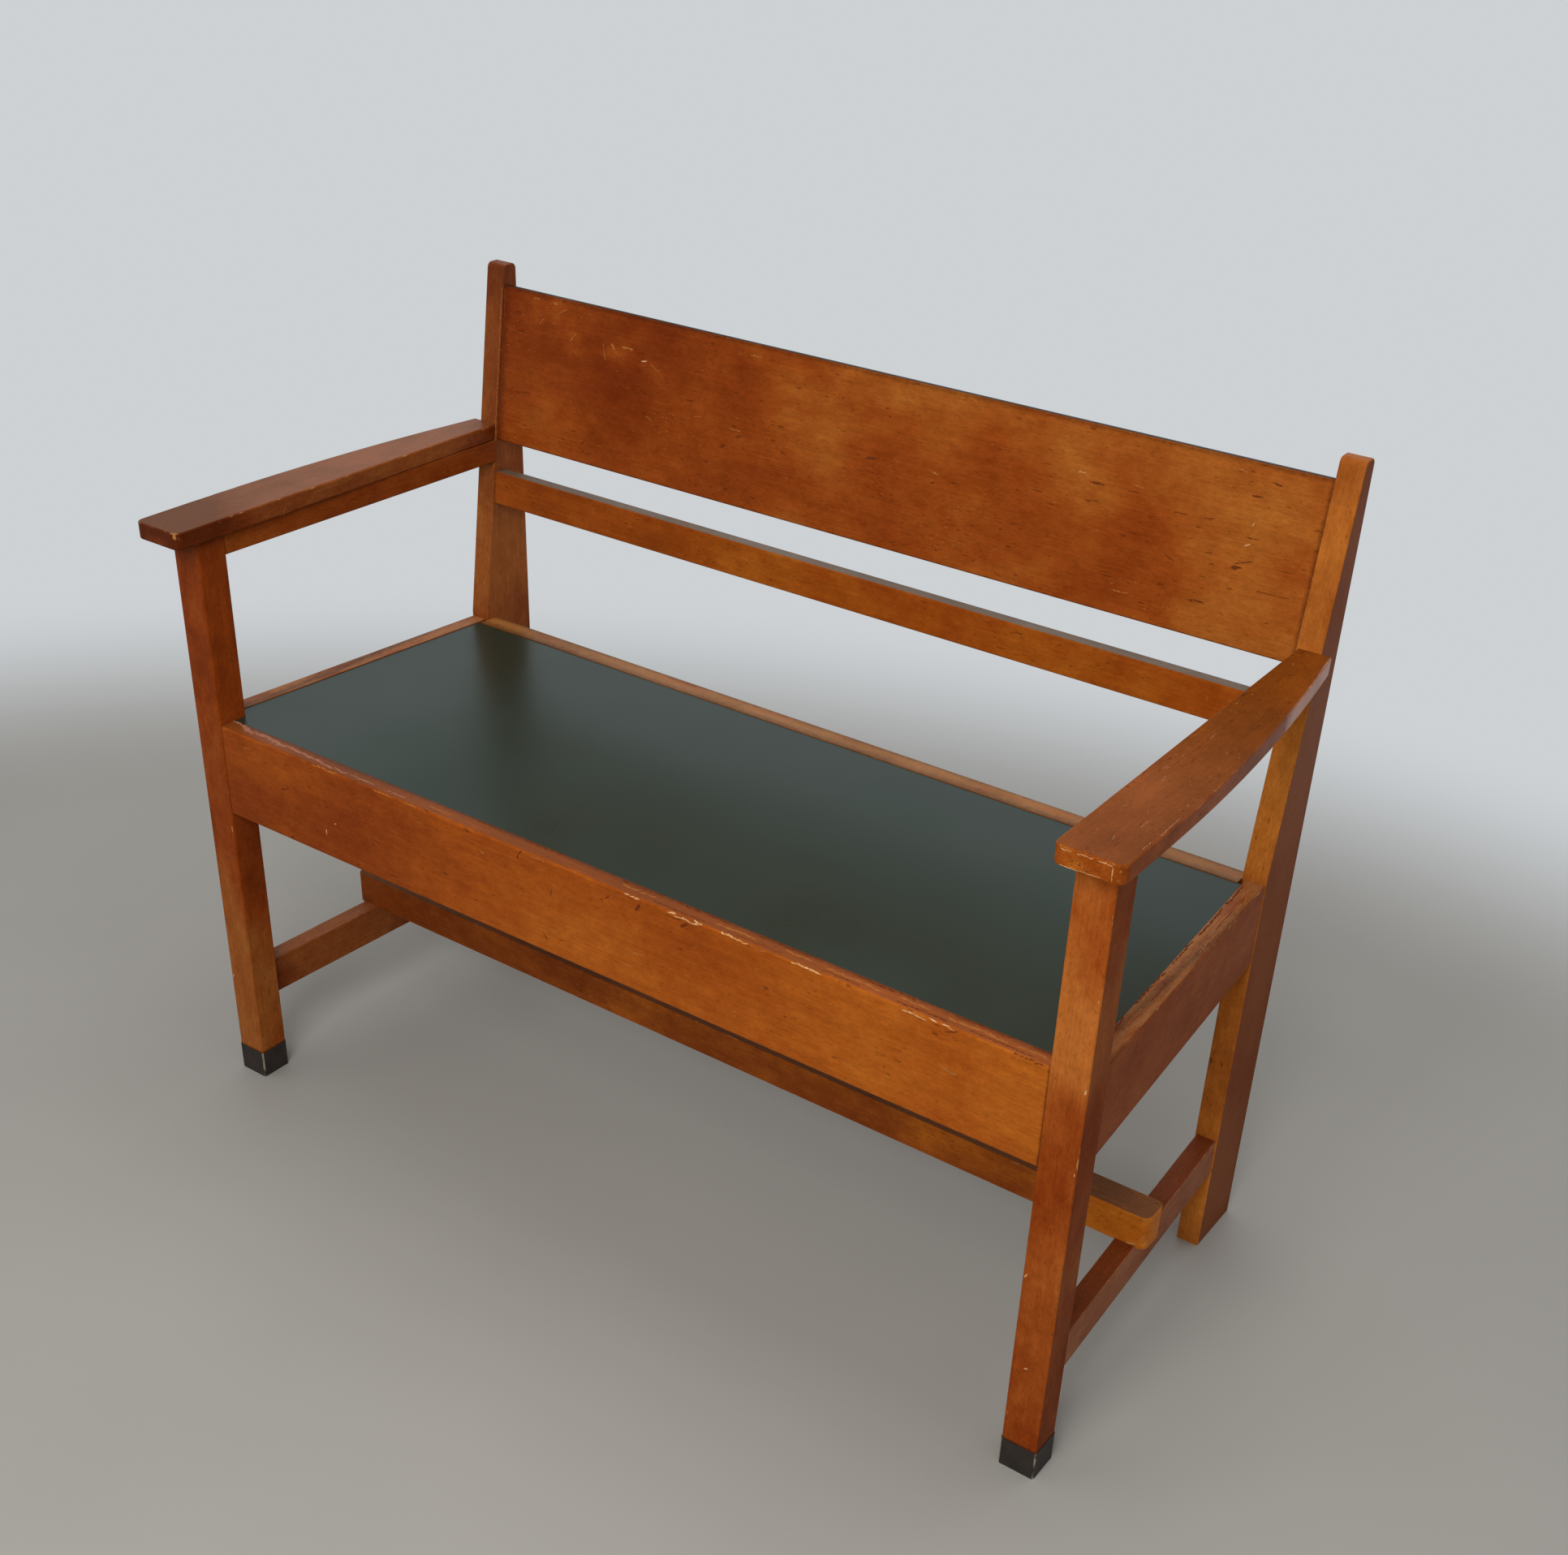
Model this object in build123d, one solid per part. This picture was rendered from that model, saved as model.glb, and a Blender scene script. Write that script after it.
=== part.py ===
"""A two-seat wooden settle: raked back, two arms and a linoleum seat in a tenoned frame.

Millimetres. +X is the sitter's left, seen from the front as right. +Y runs to the back.
+Z is up. The origin is on the floor, under the middle of the whole settle.
"""
from build123d import *
import math
import os

# Overall sizes
seat_height = 456.0          # floor to the top of the front seat rail
seat_fall = 7.0              # how much lower the seat lies at the back
arm_rise = 222.0             # front of the seat to the top of the arms
back_rise = 394.0            # front of the seat to the top of the rear legs
bend_drop = 1.0              # front of the seat down to where the rear legs start to lean
front_width = 1074.0         # outside to outside of the front legs
rear_inset = 24.5            # how far the rear legs stand in from the front legs, each side
frame_depth = 478.0          # front of the front legs to the back of the rear feet

# Fits
joint_clearance = 0.15       # each side of a tenon, tongue, dowel or screw
mortise_end_gap = 1.0        # past the end of a tenon or dowel, for glue
tool_overrun = 40.0          # how far a cutting body runs past the wood it cuts

# Front legs and their sleeves
front_leg_width = 37.0
front_leg_depth = 36.0
front_leg_edge = 2.0
sleeve_height = 33.0
sleeve_wall = 1.5
sleeve_floor = 3.0
sleeve_proud = 0.7           # how far the sleeve stands out past the leg

# Rear legs, one board each from floor to top
rear_leg_width = 25.0
rear_leg_depth = 76.0        # up to the seat
rear_leg_top_depth = 19.0    # at the very top
rear_leg_back_lean = 4.0     # how far the back edge comes forward at the top
rear_leg_top_radius = 6.0
rear_leg_edge = 1.5

# Arm boards
arm_thickness = 18.0
arm_front_overhang = 30.0
arm_outer_overhang = 17.0
arm_inner_overhang = 8.0
arm_rear_inner_step = 2.0    # the board's inner edge, out from the rear leg's inner face
arm_rear_outer_lap = 10.0    # the board's outer edge, out past the rear leg's outer face
arm_parallel_length = 42.0   # behind the front leg's face, before the outer edge curves in
arm_front_radius = 9.0
arm_edge = 2.0

# Rails under the arms
arm_rail_thickness = 20.0
arm_rail_height = 24.0
arm_rail_tenon_thickness = 8.0
arm_rail_tenon_height = 12.0
arm_rail_front_tenon = 16.0
arm_rail_rear_tenon = 20.0

# Seat rails
front_rail_thickness = 19.0
front_rail_height = 104.0
front_rail_setback = 0.8
front_rail_worn_radius = 3.0
front_rail_tenon_length = 21.0
front_rail_tenon_thickness = 10.0
front_rail_tenon_shoulder = 12.0

side_rail_thickness = 20.0
side_rail_height = 96.0      # at its front end
side_rail_setback = 0.6
side_rail_tenon_thickness = 10.0
side_rail_front_tenon = 15.0
side_rail_rear_tenon = 30.0
side_rail_worn_radius = 2.5

rear_rail_thickness = 25.0
rear_rail_height = 90.0
rear_rail_forward = 10.0     # how far it stands in front of the rear legs
rear_rail_tenon_length = 14.0
rear_rail_tenon_thickness = 8.0
rear_rail_tenon_back_step = 5.0

corner_tenon_height = 32.0   # rear corners: the side tenon below, the rear tenon above
corner_tenon_margin = 10.0
rail_edge = 1.5

# Back
panel_height = 170.0
panel_thickness = 9.0
panel_setback = 1.0
panel_gap = 36.0             # between the lower back rail and the panel
panel_tongue_length = 9.0
panel_tongue_thickness = 5.0
panel_tongue_shoulder = 8.0
panel_edge = 2.0
lower_rail_height = 37.0
lower_rail_thickness = 20.0
lower_rail_setback = 0.6
lower_rail_gap = 135.0       # along the slope, from the bend of the rear legs
lower_rail_tenon_length = 15.0
lower_rail_tenon_thickness = 8.0
lower_rail_tenon_shoulder = 7.0

# Stretchers
side_stretcher_height = 44.0
side_stretcher_thickness = 22.0
side_stretcher_floor = 97.0  # floor to its underside
side_stretcher_tenon_height = 28.0
side_stretcher_tenon_thickness = 9.0
side_stretcher_front_tenon = 20.0
side_stretcher_rear_tenon = 25.0
long_stretcher_height = 39.0
long_stretcher_notch = 2.0   # how deep it is let in over the side stretchers
long_stretcher_depth = 35.0
long_stretcher_back = 199.0  # behind the front legs' face
long_stretcher_overhang = 11.0   # past the outer faces of the side stretchers
long_stretcher_end_radius = 9.0

# Seat
linoleum_thickness = 3.0
linoleum_drop = 0.8          # below the tops of the rails
seat_board_thickness = 10.0
seat_gap = 0.4               # all round the seat board
batten_width = 20.0
batten_height = 20.0
batten_end_gap = 4.0
bearer_width = 45.0
bearer_height = 28.0
bearer_tenon_length = 8.0
bearer_tenon_thickness = 12.0
bearer_tenon_shoulder = 7.0

# Dowels and screws
dowel_diameter = 8.0
dowel_in_arm = 12.0
dowel_in_leg = 20.0
dowel_in_arm_end = 18.0
dowel_in_rear_leg = 16.0
dowel_pitch = 17.0           # between the two dowels in a front leg
dowel_front_step = 11.0      # behind the front leg's face
end_dowel_step = 17.5        # the level dowel, out from the rear leg's inner face
screw_diameter = 4.0
screw_head_diameter = 8.0
screw_head_height = 2.5
screw_rim = 0.4              # the straight rim of a countersunk head
wood_screw_length = 34.0     # those of the battens and of the arms
arm_screw_shares = (0.27, 0.73)                # places along an arm rail
stretcher_screw_diameter = 5.0
stretcher_screw_head_diameter = 10.0
stretcher_screw_head_height = 3.0
stretcher_screw_length = 65.0
stretcher_screw_pitch = 16.0
long_batten_screw_shares = (0.12, 0.5, 0.88)   # places along a front or rear batten
side_batten_screw_shares = (0.15, 0.5, 0.85)   # places along a side batten

# Places worked out from those sizes
total_height = seat_height + back_rise
arm_height = seat_height + arm_rise
leg_front = arm_front_overhang - (arm_front_overhang + frame_depth) / 2
leg_back = leg_front + front_leg_depth
foot_back = leg_front + frame_depth
stile_front = foot_back - rear_leg_depth
front_outer = front_width / 2
front_inner = front_outer - front_leg_width
rear_outer = front_outer - rear_inset
rear_inner = rear_outer - rear_leg_width
arm_underside = arm_height - arm_thickness
top_front = foot_back - rear_leg_back_lean - rear_leg_top_depth
bend_height = seat_height - bend_drop
rake = math.degrees(math.atan2(top_front - stile_front, total_height - bend_height))
rail_run = stile_front - leg_back
seat_front = leg_front + front_rail_setback + front_rail_thickness
seat_back = stile_front - rear_rail_forward
side_rail_floor = seat_height - side_rail_height
rear_rail_top = seat_height - seat_fall
board_drop = linoleum_drop + linoleum_thickness
batten_drop = board_drop + seat_board_thickness
batten_floor_drop = batten_drop + batten_height
skew = math.degrees(math.atan2(rear_inset, rail_run))


def block(x0, x1, y0, y1, z0, z1):
    """A box from its lowest to its highest corner."""
    middle = Pos((x0 + x1) / 2, (y0 + y1) / 2, (z0 + z1) / 2)
    return middle * Box(abs(x1 - x0), abs(y1 - y0), abs(z1 - z0))


def upright(points, z0, z1):
    """A plan outline drawn up from z0 to z1."""
    outline = make_face(Polyline(*points, close=True))
    return Pos(0, 0, z0) * extrude(outline, amount=z1 - z0, dir=(0, 0, 1))


def raked(shape):
    """Lean a shape back about the line where the rear legs start to lean.

    Before the lean, y runs back from the front faces of the rear legs and z up from the bend.
    """
    return Pos(0, stile_front, bend_height) * Rot(X=-rake) * shape


def seat_line(y):
    """The height of the seat, which falls a little from front to back."""
    return seat_height - seat_fall * (y - seat_front) / (seat_back - seat_front)


def seat_layer(top_drop, bottom_drop):
    """Everything between two planes below the seat's slope, to cut layers and rails from."""
    y0 = leg_front - tool_overrun
    y1 = foot_back + tool_overrun
    reach = front_outer + tool_overrun
    outline = make_face(Polyline((y0, seat_line(y0) - top_drop), (y1, seat_line(y1) - top_drop),
                                 (y1, seat_line(y1) - bottom_drop),
                                 (y0, seat_line(y0) - bottom_drop), close=True))
    return Pos(-reach, 0, 0) * extrude(Plane.YZ * outline, amount=2 * reach)


def eased(shape, axis, radius):
    """Round the edges that run along one axis, as far as the wood allows."""
    return fillet(shape.edges().filter_by(axis), radius)


def other_side(shape):
    return mirror(shape, about=Plane.YZ)


def behind_stile_front():
    """Everything behind the leaning front faces of the rear legs."""
    reach = front_width + 2 * tool_overrun
    return raked(block(-reach, reach, 0, frame_depth, -seat_height, total_height))


def rod(diameter, length):
    """A round rod that starts at the origin and runs up."""
    return Cylinder(diameter / 2, length, align=(Align.CENTER, Align.CENTER, Align.MIN))


def screw(diameter, head_diameter, head_height, length, grown):
    """A countersunk wood screw, head up at the origin, or the hole that it needs."""
    head_radius = head_diameter / 2 + grown
    shank_radius = diameter / 2 + grown
    tip = length + grown
    profile = make_face(Polyline((0, grown), (head_radius, grown),
                                 (head_radius, -screw_rim - grown),
                                 (shank_radius, -head_height - grown),
                                 (shank_radius, -tip + diameter), (0, -tip), close=True))
    return revolve(Plane.XZ * profile, Axis.Z)


# Side rails, side stretchers and arm rails run askew, because the settle is wider in front

def side_line(y, front_x, rear_x):
    """The x of a straight line from the front leg's back to the rear leg's front."""
    return front_x + (rear_x - front_x) * (y - leg_back) / rail_run


rail_outer_front = front_outer - side_rail_setback
rail_outer_rear = rear_outer - side_rail_setback
rail_plan_width = side_rail_thickness / math.cos(math.radians(skew))


def rail_inner_face(y):
    return side_line(y, rail_outer_front, rail_outer_rear) - rail_plan_width


def rail_axis():
    return Axis((0, 0, 0), (rail_outer_rear - rail_outer_front, rail_run, 0))


def front_leg_tenon_parts():
    """The tenons that enter the right front leg, each with its clearance to be cut."""
    grown = joint_clearance
    parts = []
    for tenon in (front_rail_tenon(grown), side_rail_front_tenon_body(grown),
                  side_stretcher_front_tenon_body(grown), arm_rail_front_tenon_body(grown)):
        parts.append(tenon)
    return parts


def front_rail_tenon(grown=0.0):
    y0 = leg_front + front_rail_setback + (front_rail_thickness - front_rail_tenon_thickness) / 2
    end = front_inner + front_rail_tenon_length
    if grown:
        end += mortise_end_gap
    return block(front_inner - front_rail_thickness, end,
                 y0 - grown, y0 + front_rail_tenon_thickness + grown,
                 seat_height - front_rail_height + front_rail_tenon_shoulder - grown,
                 seat_height - front_rail_tenon_shoulder + grown)


def side_rail_front_tenon_body(grown=0.0):
    middle = rail_inner_face(leg_back) + rail_plan_width / 2
    end = leg_back - side_rail_front_tenon
    if grown:
        end -= mortise_end_gap
    return block(middle - side_rail_tenon_thickness / 2 - grown,
                 middle + side_rail_tenon_thickness / 2 + grown,
                 end, leg_back + side_rail_tenon_thickness / 2,
                 side_rail_floor + corner_tenon_margin - grown,
                 seat_line(leg_back) - corner_tenon_margin + grown)


def side_rail_rear_tenon_body(grown=0.0):
    middle = rail_inner_face(stile_front) + rail_plan_width / 2
    end = stile_front + side_rail_rear_tenon
    if grown:
        end += mortise_end_gap
    floor = side_rail_floor + corner_tenon_margin
    return block(middle - side_rail_tenon_thickness / 2 - grown,
                 middle + side_rail_tenon_thickness / 2 + grown,
                 stile_front - side_rail_tenon_thickness / 2, end,
                 floor - grown, floor + corner_tenon_height + grown)


def rear_rail_tenon(grown=0.0):
    back = seat_back + rear_rail_thickness - rear_rail_tenon_back_step
    end = rear_inner + rear_rail_tenon_length
    if grown:
        end += mortise_end_gap
    ceiling = rear_rail_top - corner_tenon_margin
    return block(rear_inner - rear_rail_thickness, end,
                 back - rear_rail_tenon_thickness - grown, back + grown,
                 ceiling - corner_tenon_height - grown, ceiling + grown)


def stretcher_middle(y):
    return side_line(y, front_outer - front_leg_width / 2, rear_outer - rear_leg_width / 2)


def stretcher_tenon(start, end, middle, grown):
    floor = side_stretcher_floor + (side_stretcher_height - side_stretcher_tenon_height) / 2
    half = side_stretcher_tenon_thickness / 2
    return block(middle - half - grown, middle + half + grown, start, end,
                 floor - grown, floor + side_stretcher_tenon_height + grown)


def side_stretcher_front_tenon_body(grown=0.0):
    end = leg_back - side_stretcher_front_tenon
    if grown:
        end -= mortise_end_gap
    start = leg_back + side_stretcher_tenon_thickness / 2
    return stretcher_tenon(start, end, stretcher_middle(leg_back), grown)


def side_stretcher_rear_tenon_body(grown=0.0):
    end = stile_front + side_stretcher_rear_tenon
    if grown:
        end += mortise_end_gap
    start = stile_front - side_stretcher_tenon_thickness / 2
    return stretcher_tenon(start, end, stretcher_middle(stile_front), grown)


def arm_rail_middle(y):
    return side_line(y, front_inner, rear_inner) + arm_rail_thickness / 2


def arm_rail_tenon(start, end, middle, grown):
    floor = arm_underside - (arm_rail_height + arm_rail_tenon_height) / 2
    half = arm_rail_tenon_thickness / 2
    return block(middle - half - grown, middle + half + grown, start, end,
                 floor - grown, floor + arm_rail_tenon_height + grown)


def arm_rail_front_tenon_body(grown=0.0):
    end = leg_back - arm_rail_front_tenon
    if grown:
        end -= mortise_end_gap
    start = leg_back + arm_rail_tenon_thickness / 2
    return arm_rail_tenon(start, end, arm_rail_middle(leg_back), grown)


def stile_front_at(z):
    """The y of the leaning front face of a rear leg at a height."""
    return stile_front + (z - bend_height) * math.tan(math.radians(rake))


def arm_rail_rear_tenon_body(grown=0.0):
    y0 = stile_front_at(arm_underside - arm_rail_height / 2)
    end = y0 + arm_rail_rear_tenon
    if grown:
        end += mortise_end_gap
    return arm_rail_tenon(y0 - arm_rail_tenon_thickness, end, arm_rail_middle(y0), grown)


def dowel_places():
    """Place, and length each way, of the right arm's dowels: two upright, one level."""
    middle = front_outer - front_leg_width / 2
    y = leg_front + dowel_front_step
    places = []
    for side in (-1, 1):
        foot = Pos(middle + side * dowel_pitch / 2, y, arm_underside)
        places.append((foot, dowel_in_leg, dowel_in_arm))
    z = arm_underside + arm_thickness / 2
    foot = Pos(rear_inner + end_dowel_step, stile_front_at(z), z) * Rot(X=-90)
    places.append((foot, dowel_in_arm_end, dowel_in_rear_leg))
    return places


def dowels(grown=0.0):
    solids = []
    for foot, below, above in dowel_places():
        if grown:
            below = below + mortise_end_gap
            above = above + mortise_end_gap
        body = rod(dowel_diameter + 2 * grown, below + above)
        solids.append(foot * Pos(0, 0, -below) * body)
    return solids


def front_leg():
    """The right front leg, its foot turned down to fit the sleeve."""
    leg = block(front_inner, front_outer, leg_front, leg_back, sleeve_floor, arm_underside)
    leg = eased(leg, Axis.Z, front_leg_edge)
    waste = sleeve_wall - sleeve_proud + joint_clearance
    whole = block(front_inner - tool_overrun, front_outer + tool_overrun,
                  leg_front - tool_overrun, leg_back + tool_overrun,
                  sleeve_floor - tool_overrun, sleeve_height)
    core = block(front_inner + waste, front_outer - waste, leg_front + waste, leg_back - waste,
                 sleeve_floor - tool_overrun, sleeve_height + tool_overrun)
    core = eased(core, Axis.Z, front_leg_edge)
    leg -= whole - core
    for tenon in front_leg_tenon_parts() + dowels(joint_clearance):
        leg -= tenon
    return leg


def foot_sleeve():
    """The closed rubber sleeve that the right front leg stands in."""
    out = sleeve_proud
    waste = sleeve_wall - sleeve_proud
    outside = block(front_inner - out, front_outer + out, leg_front - out, leg_back + out,
                    0, sleeve_height)
    outside = eased(outside, Axis.Z, front_leg_edge + out)
    inside = block(front_inner + waste, front_outer - waste, leg_front + waste, leg_back - waste,
                   sleeve_floor, sleeve_height + tool_overrun)
    inside = eased(inside, Axis.Z, front_leg_edge)
    return outside - inside


def rear_leg():
    """The right rear leg: upright to the seat, then its front face leans back to a thin top."""
    top_back = foot_back - rear_leg_back_lean
    outline = make_face(Polyline((stile_front, 0), (stile_front, bend_height),
                                 (top_front, total_height), (top_back, total_height),
                                 (foot_back, 0), close=True))
    top_corners = outline.vertices().sort_by(Axis.Y).filter_by_position(
        Axis.Y, total_height - rear_leg_edge, total_height + rear_leg_edge)
    outline = fillet(top_corners, rear_leg_top_radius)
    leg = Pos(rear_inner, 0, 0) * extrude(Plane.YZ * outline, amount=rear_leg_width)
    sides = leg.edges().group_by(Axis.X)
    leg = fillet(sides[0] + sides[-1], rear_leg_edge)
    cuts = [side_rail_rear_tenon_body(joint_clearance), rear_rail_tenon(joint_clearance),
            side_stretcher_rear_tenon_body(joint_clearance),
            arm_rail_rear_tenon_body(joint_clearance),
            panel_tongue(joint_clearance), lower_rail_tenon(joint_clearance)]
    for cut in cuts + dowels(joint_clearance):
        leg -= cut
    return leg


def arm():
    """The right arm board: parallel in front, then curving in to the rear leg behind."""
    inner = front_inner - arm_inner_overhang
    outer = front_outer + arm_outer_overhang
    front = leg_front - arm_front_overhang
    bend = leg_front + arm_parallel_length
    back = stile_front_at(arm_height)
    end = rear_outer + arm_rear_outer_lap
    straight = Polyline((end, back), (rear_inner + arm_rear_inner_step, back), (inner, front),
                        (outer, front), (outer, bend))
    curve = TangentArc((outer, bend), (end, back), tangent=(0, 1))
    outline = make_face(straight + curve)
    front_corners = outline.vertices().group_by(Axis.Y)[0]
    outline = fillet(front_corners, arm_front_radius)
    board = Pos(0, 0, arm_underside) * extrude(outline, amount=arm_thickness, dir=(0, 0, 1))
    rims = board.edges().group_by(Axis.Z)
    soft = [edge for edge in rims[-1] + rims[0] if edge.center().Y < back - arm_edge]
    board = fillet(soft, arm_edge)
    board -= behind_stile_front()
    for hole in dowels(joint_clearance) + arm_screws(joint_clearance):
        board -= hole
    return board


def arm_rail():
    """The rail that the right arm board lies on, from the front leg to the rear leg."""
    reach = stile_front_at(arm_height)
    points = []
    for y, side in ((leg_back, -1), (leg_back, 1), (reach, 1), (reach, -1)):
        points.append((arm_rail_middle(y) + side * arm_rail_thickness / 2, y))
    rail = upright(points, arm_underside - arm_rail_height, arm_underside)
    along = Axis((0, 0, 0), (rear_inner - front_inner, rail_run, 0))
    rail = fillet(rail.edges().filter_by(along).group_by(Axis.Z)[0], rail_edge)
    rail -= behind_stile_front()
    for hole in arm_screws(joint_clearance):
        rail -= hole
    return rail + arm_rail_front_tenon_body() + arm_rail_rear_tenon_body()


def front_seat_rail():
    y0 = leg_front + front_rail_setback
    rail = block(-front_inner, front_inner, y0, y0 + front_rail_thickness,
                 seat_height - front_rail_height, seat_height)
    long_edges = rail.edges().filter_by(Axis.X)
    worn = long_edges.sort_by_distance((0, y0, seat_height))[0]
    rail = fillet(worn, front_rail_worn_radius)
    lower = rail.edges().filter_by(Axis.X).group_by(Axis.Z)[0]
    rail = fillet(lower, rail_edge)
    rail += front_rail_tenon()
    rail += other_side(front_rail_tenon())
    rail -= bearer_body(joint_clearance)
    for hole in long_batten_screws(joint_clearance)[0]:
        rail -= hole
    return rail


def rear_seat_rail():
    rail = block(-rear_inner, rear_inner, seat_back, seat_back + rear_rail_thickness,
                 rear_rail_top - rear_rail_height, seat_height)
    rail &= seat_layer(0, seat_height)
    rail = fillet(rail.edges().filter_by(Axis.X).group_by(Axis.Y)[-1], rail_edge)
    rail += rear_rail_tenon()
    rail += other_side(rear_rail_tenon())
    rail -= bearer_body(joint_clearance)
    for hole in long_batten_screws(joint_clearance)[1]:
        rail -= hole
    return rail


def side_seat_rail():
    """The right side rail, its shoulders cut askew to meet both legs."""
    points = []
    for y, width in ((leg_back, 0), (leg_back, 1), (stile_front, 1), (stile_front, 0)):
        points.append((rail_inner_face(y) + width * rail_plan_width, y))
    rail = upright(points, side_rail_floor, seat_height) & seat_layer(0, seat_height)
    middle = (leg_back + stile_front) / 2
    outer = rail_inner_face(middle) + rail_plan_width
    top = rail.edges().sort_by_distance((outer, middle, seat_line(middle)))[0]
    rail = fillet(top, side_rail_worn_radius)
    lower = rail.edges().filter_by(rail_axis()).group_by(Axis.Z)[0]
    rail = fillet(lower, rail_edge)
    rail += side_rail_front_tenon_body()
    rail += side_rail_rear_tenon_body()
    for hole in side_batten_screws(joint_clearance):
        rail -= hole
    return rail


def side_stretcher_bar(grown=0.0):
    """The right side stretcher between its shoulders, or the room for it in a notch."""
    half = side_stretcher_thickness / 2 + grown
    points = []
    for y, side in ((leg_back, -1), (leg_back, 1), (stile_front, 1), (stile_front, -1)):
        points.append((stretcher_middle(y) + side * half, y))
    top = side_stretcher_floor + side_stretcher_height
    return upright(points, side_stretcher_floor, top)


def side_stretcher():
    bar = side_stretcher_bar()
    along = Axis((0, 0, 0), (stretcher_middle(stile_front) - stretcher_middle(leg_back),
                             rail_run, 0))
    bar = fillet(bar.edges().filter_by(along), rail_edge)
    bar += side_stretcher_front_tenon_body()
    bar += side_stretcher_rear_tenon_body()
    for hole in stretcher_screws(joint_clearance):
        bar -= hole
    return bar


def long_stretcher():
    """The long stretcher, let in over the two side stretchers, runs a little past them."""
    y0 = leg_front + long_stretcher_back
    z0 = side_stretcher_floor + side_stretcher_height - long_stretcher_notch
    side_outer = stretcher_middle(y0 + long_stretcher_depth / 2) + side_stretcher_thickness / 2
    half = side_outer + long_stretcher_overhang
    bar = block(-half, half, y0, y0 + long_stretcher_depth, z0, z0 + long_stretcher_height)
    bar = eased(bar, Axis.Z, long_stretcher_end_radius)
    bar = fillet(bar.edges().filter_by(Axis.X), rail_edge)
    bar -= side_stretcher_bar(joint_clearance)
    bar -= other_side(side_stretcher_bar(joint_clearance))
    for hole in stretcher_screws(joint_clearance):
        bar -= hole
        bar -= other_side(hole)
    return bar


def panel_tongue(grown=0.0):
    z0 = lower_rail_gap + lower_rail_height + panel_gap
    back = panel_setback + panel_thickness
    end = rear_inner + panel_tongue_length
    if grown:
        end += mortise_end_gap
    return raked(block(rear_inner - panel_thickness, end,
                       back - panel_tongue_thickness - grown, back + grown,
                       z0 + panel_tongue_shoulder - grown,
                       z0 + panel_height - panel_tongue_shoulder + grown))


def back_panel():
    """The wide back board, held by a tongue at each end in the rear legs."""
    z0 = lower_rail_gap + lower_rail_height + panel_gap
    panel = block(-rear_inner, rear_inner, panel_setback, panel_setback + panel_thickness,
                  z0, z0 + panel_height)
    panel = raked(eased(panel, Axis.X, panel_edge))
    panel += panel_tongue()
    return panel + other_side(panel_tongue())


def lower_rail_tenon(grown=0.0):
    y0 = lower_rail_setback + (lower_rail_thickness - lower_rail_tenon_thickness) / 2
    end = rear_inner + lower_rail_tenon_length
    if grown:
        end += mortise_end_gap
    return raked(block(rear_inner - lower_rail_thickness, end,
                       y0 - grown, y0 + lower_rail_tenon_thickness + grown,
                       lower_rail_gap + lower_rail_tenon_shoulder - grown,
                       lower_rail_gap + lower_rail_height - lower_rail_tenon_shoulder + grown))


def lower_back_rail():
    rail = block(-rear_inner, rear_inner, lower_rail_setback,
                 lower_rail_setback + lower_rail_thickness,
                 lower_rail_gap, lower_rail_gap + lower_rail_height)
    rail = raked(eased(rail, Axis.X, rail_edge))
    rail += lower_rail_tenon()
    return rail + other_side(lower_rail_tenon())


def seat_sheet(top_drop, bottom_drop):
    """A sheet that fills the seat frame, notched round the two front legs."""
    front = seat_front + seat_gap
    back = seat_back - seat_gap
    notch = leg_back + seat_gap
    half = []
    half.append((front_inner - seat_gap, front))
    half.append((front_inner - seat_gap, notch))
    half.append((rail_inner_face(notch) - seat_gap, notch))
    half.append((rail_inner_face(back) - seat_gap, back))
    other = [(-x, y) for x, y in reversed(half)]
    return upright(half + other, 0, seat_height) & seat_layer(top_drop, bottom_drop)


def seat_board():
    return seat_sheet(board_drop, batten_drop)


def seat_linoleum():
    return seat_sheet(linoleum_drop, board_drop)


def bearer_body(grown=0.0):
    """The bearer under the middle of the seat, or the room for its two stub tenons."""
    half = bearer_width / 2
    bar = block(-half, half, seat_front, seat_back, 0, seat_height)
    bar &= seat_layer(batten_drop, batten_drop + bearer_height)
    stubs = []
    for face, way in ((seat_front, -1), (seat_back, 1)):
        length = bearer_tenon_length
        if grown:
            length += mortise_end_gap
        middle = seat_line(face) - batten_drop - bearer_height / 2
        reach = half - bearer_tenon_shoulder + grown
        tongue = bearer_tenon_thickness / 2 + grown
        stubs.append(block(-reach, reach, face - way * bearer_tenon_length, face + way * length,
                           middle - tongue, middle + tongue))
    if grown:
        return stubs[0] + stubs[1]
    return bar + stubs[0] + stubs[1]


def long_batten_span():
    """From the bearer to the right front leg or the right side batten."""
    return bearer_width / 2, min(front_inner, rail_inner_face(seat_back)) - batten_end_gap


def front_batten():
    x0, x1 = long_batten_span()
    bar = block(x0, x1, seat_front, seat_front + batten_width, 0, seat_height)
    bar &= seat_layer(batten_drop, batten_floor_drop)
    for hole in long_batten_screws(joint_clearance)[0]:
        bar -= hole
    return bar


def rear_batten():
    x0, x1 = long_batten_span()
    bar = block(x0, x1, seat_back - batten_width, seat_back, 0, seat_height)
    bar &= seat_layer(batten_drop, batten_floor_drop)
    for hole in long_batten_screws(joint_clearance)[1]:
        bar -= hole
    return bar


def side_batten_ends():
    front = max(seat_front + batten_width, leg_back) + batten_end_gap
    return front, seat_back - batten_width - batten_end_gap


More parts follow.
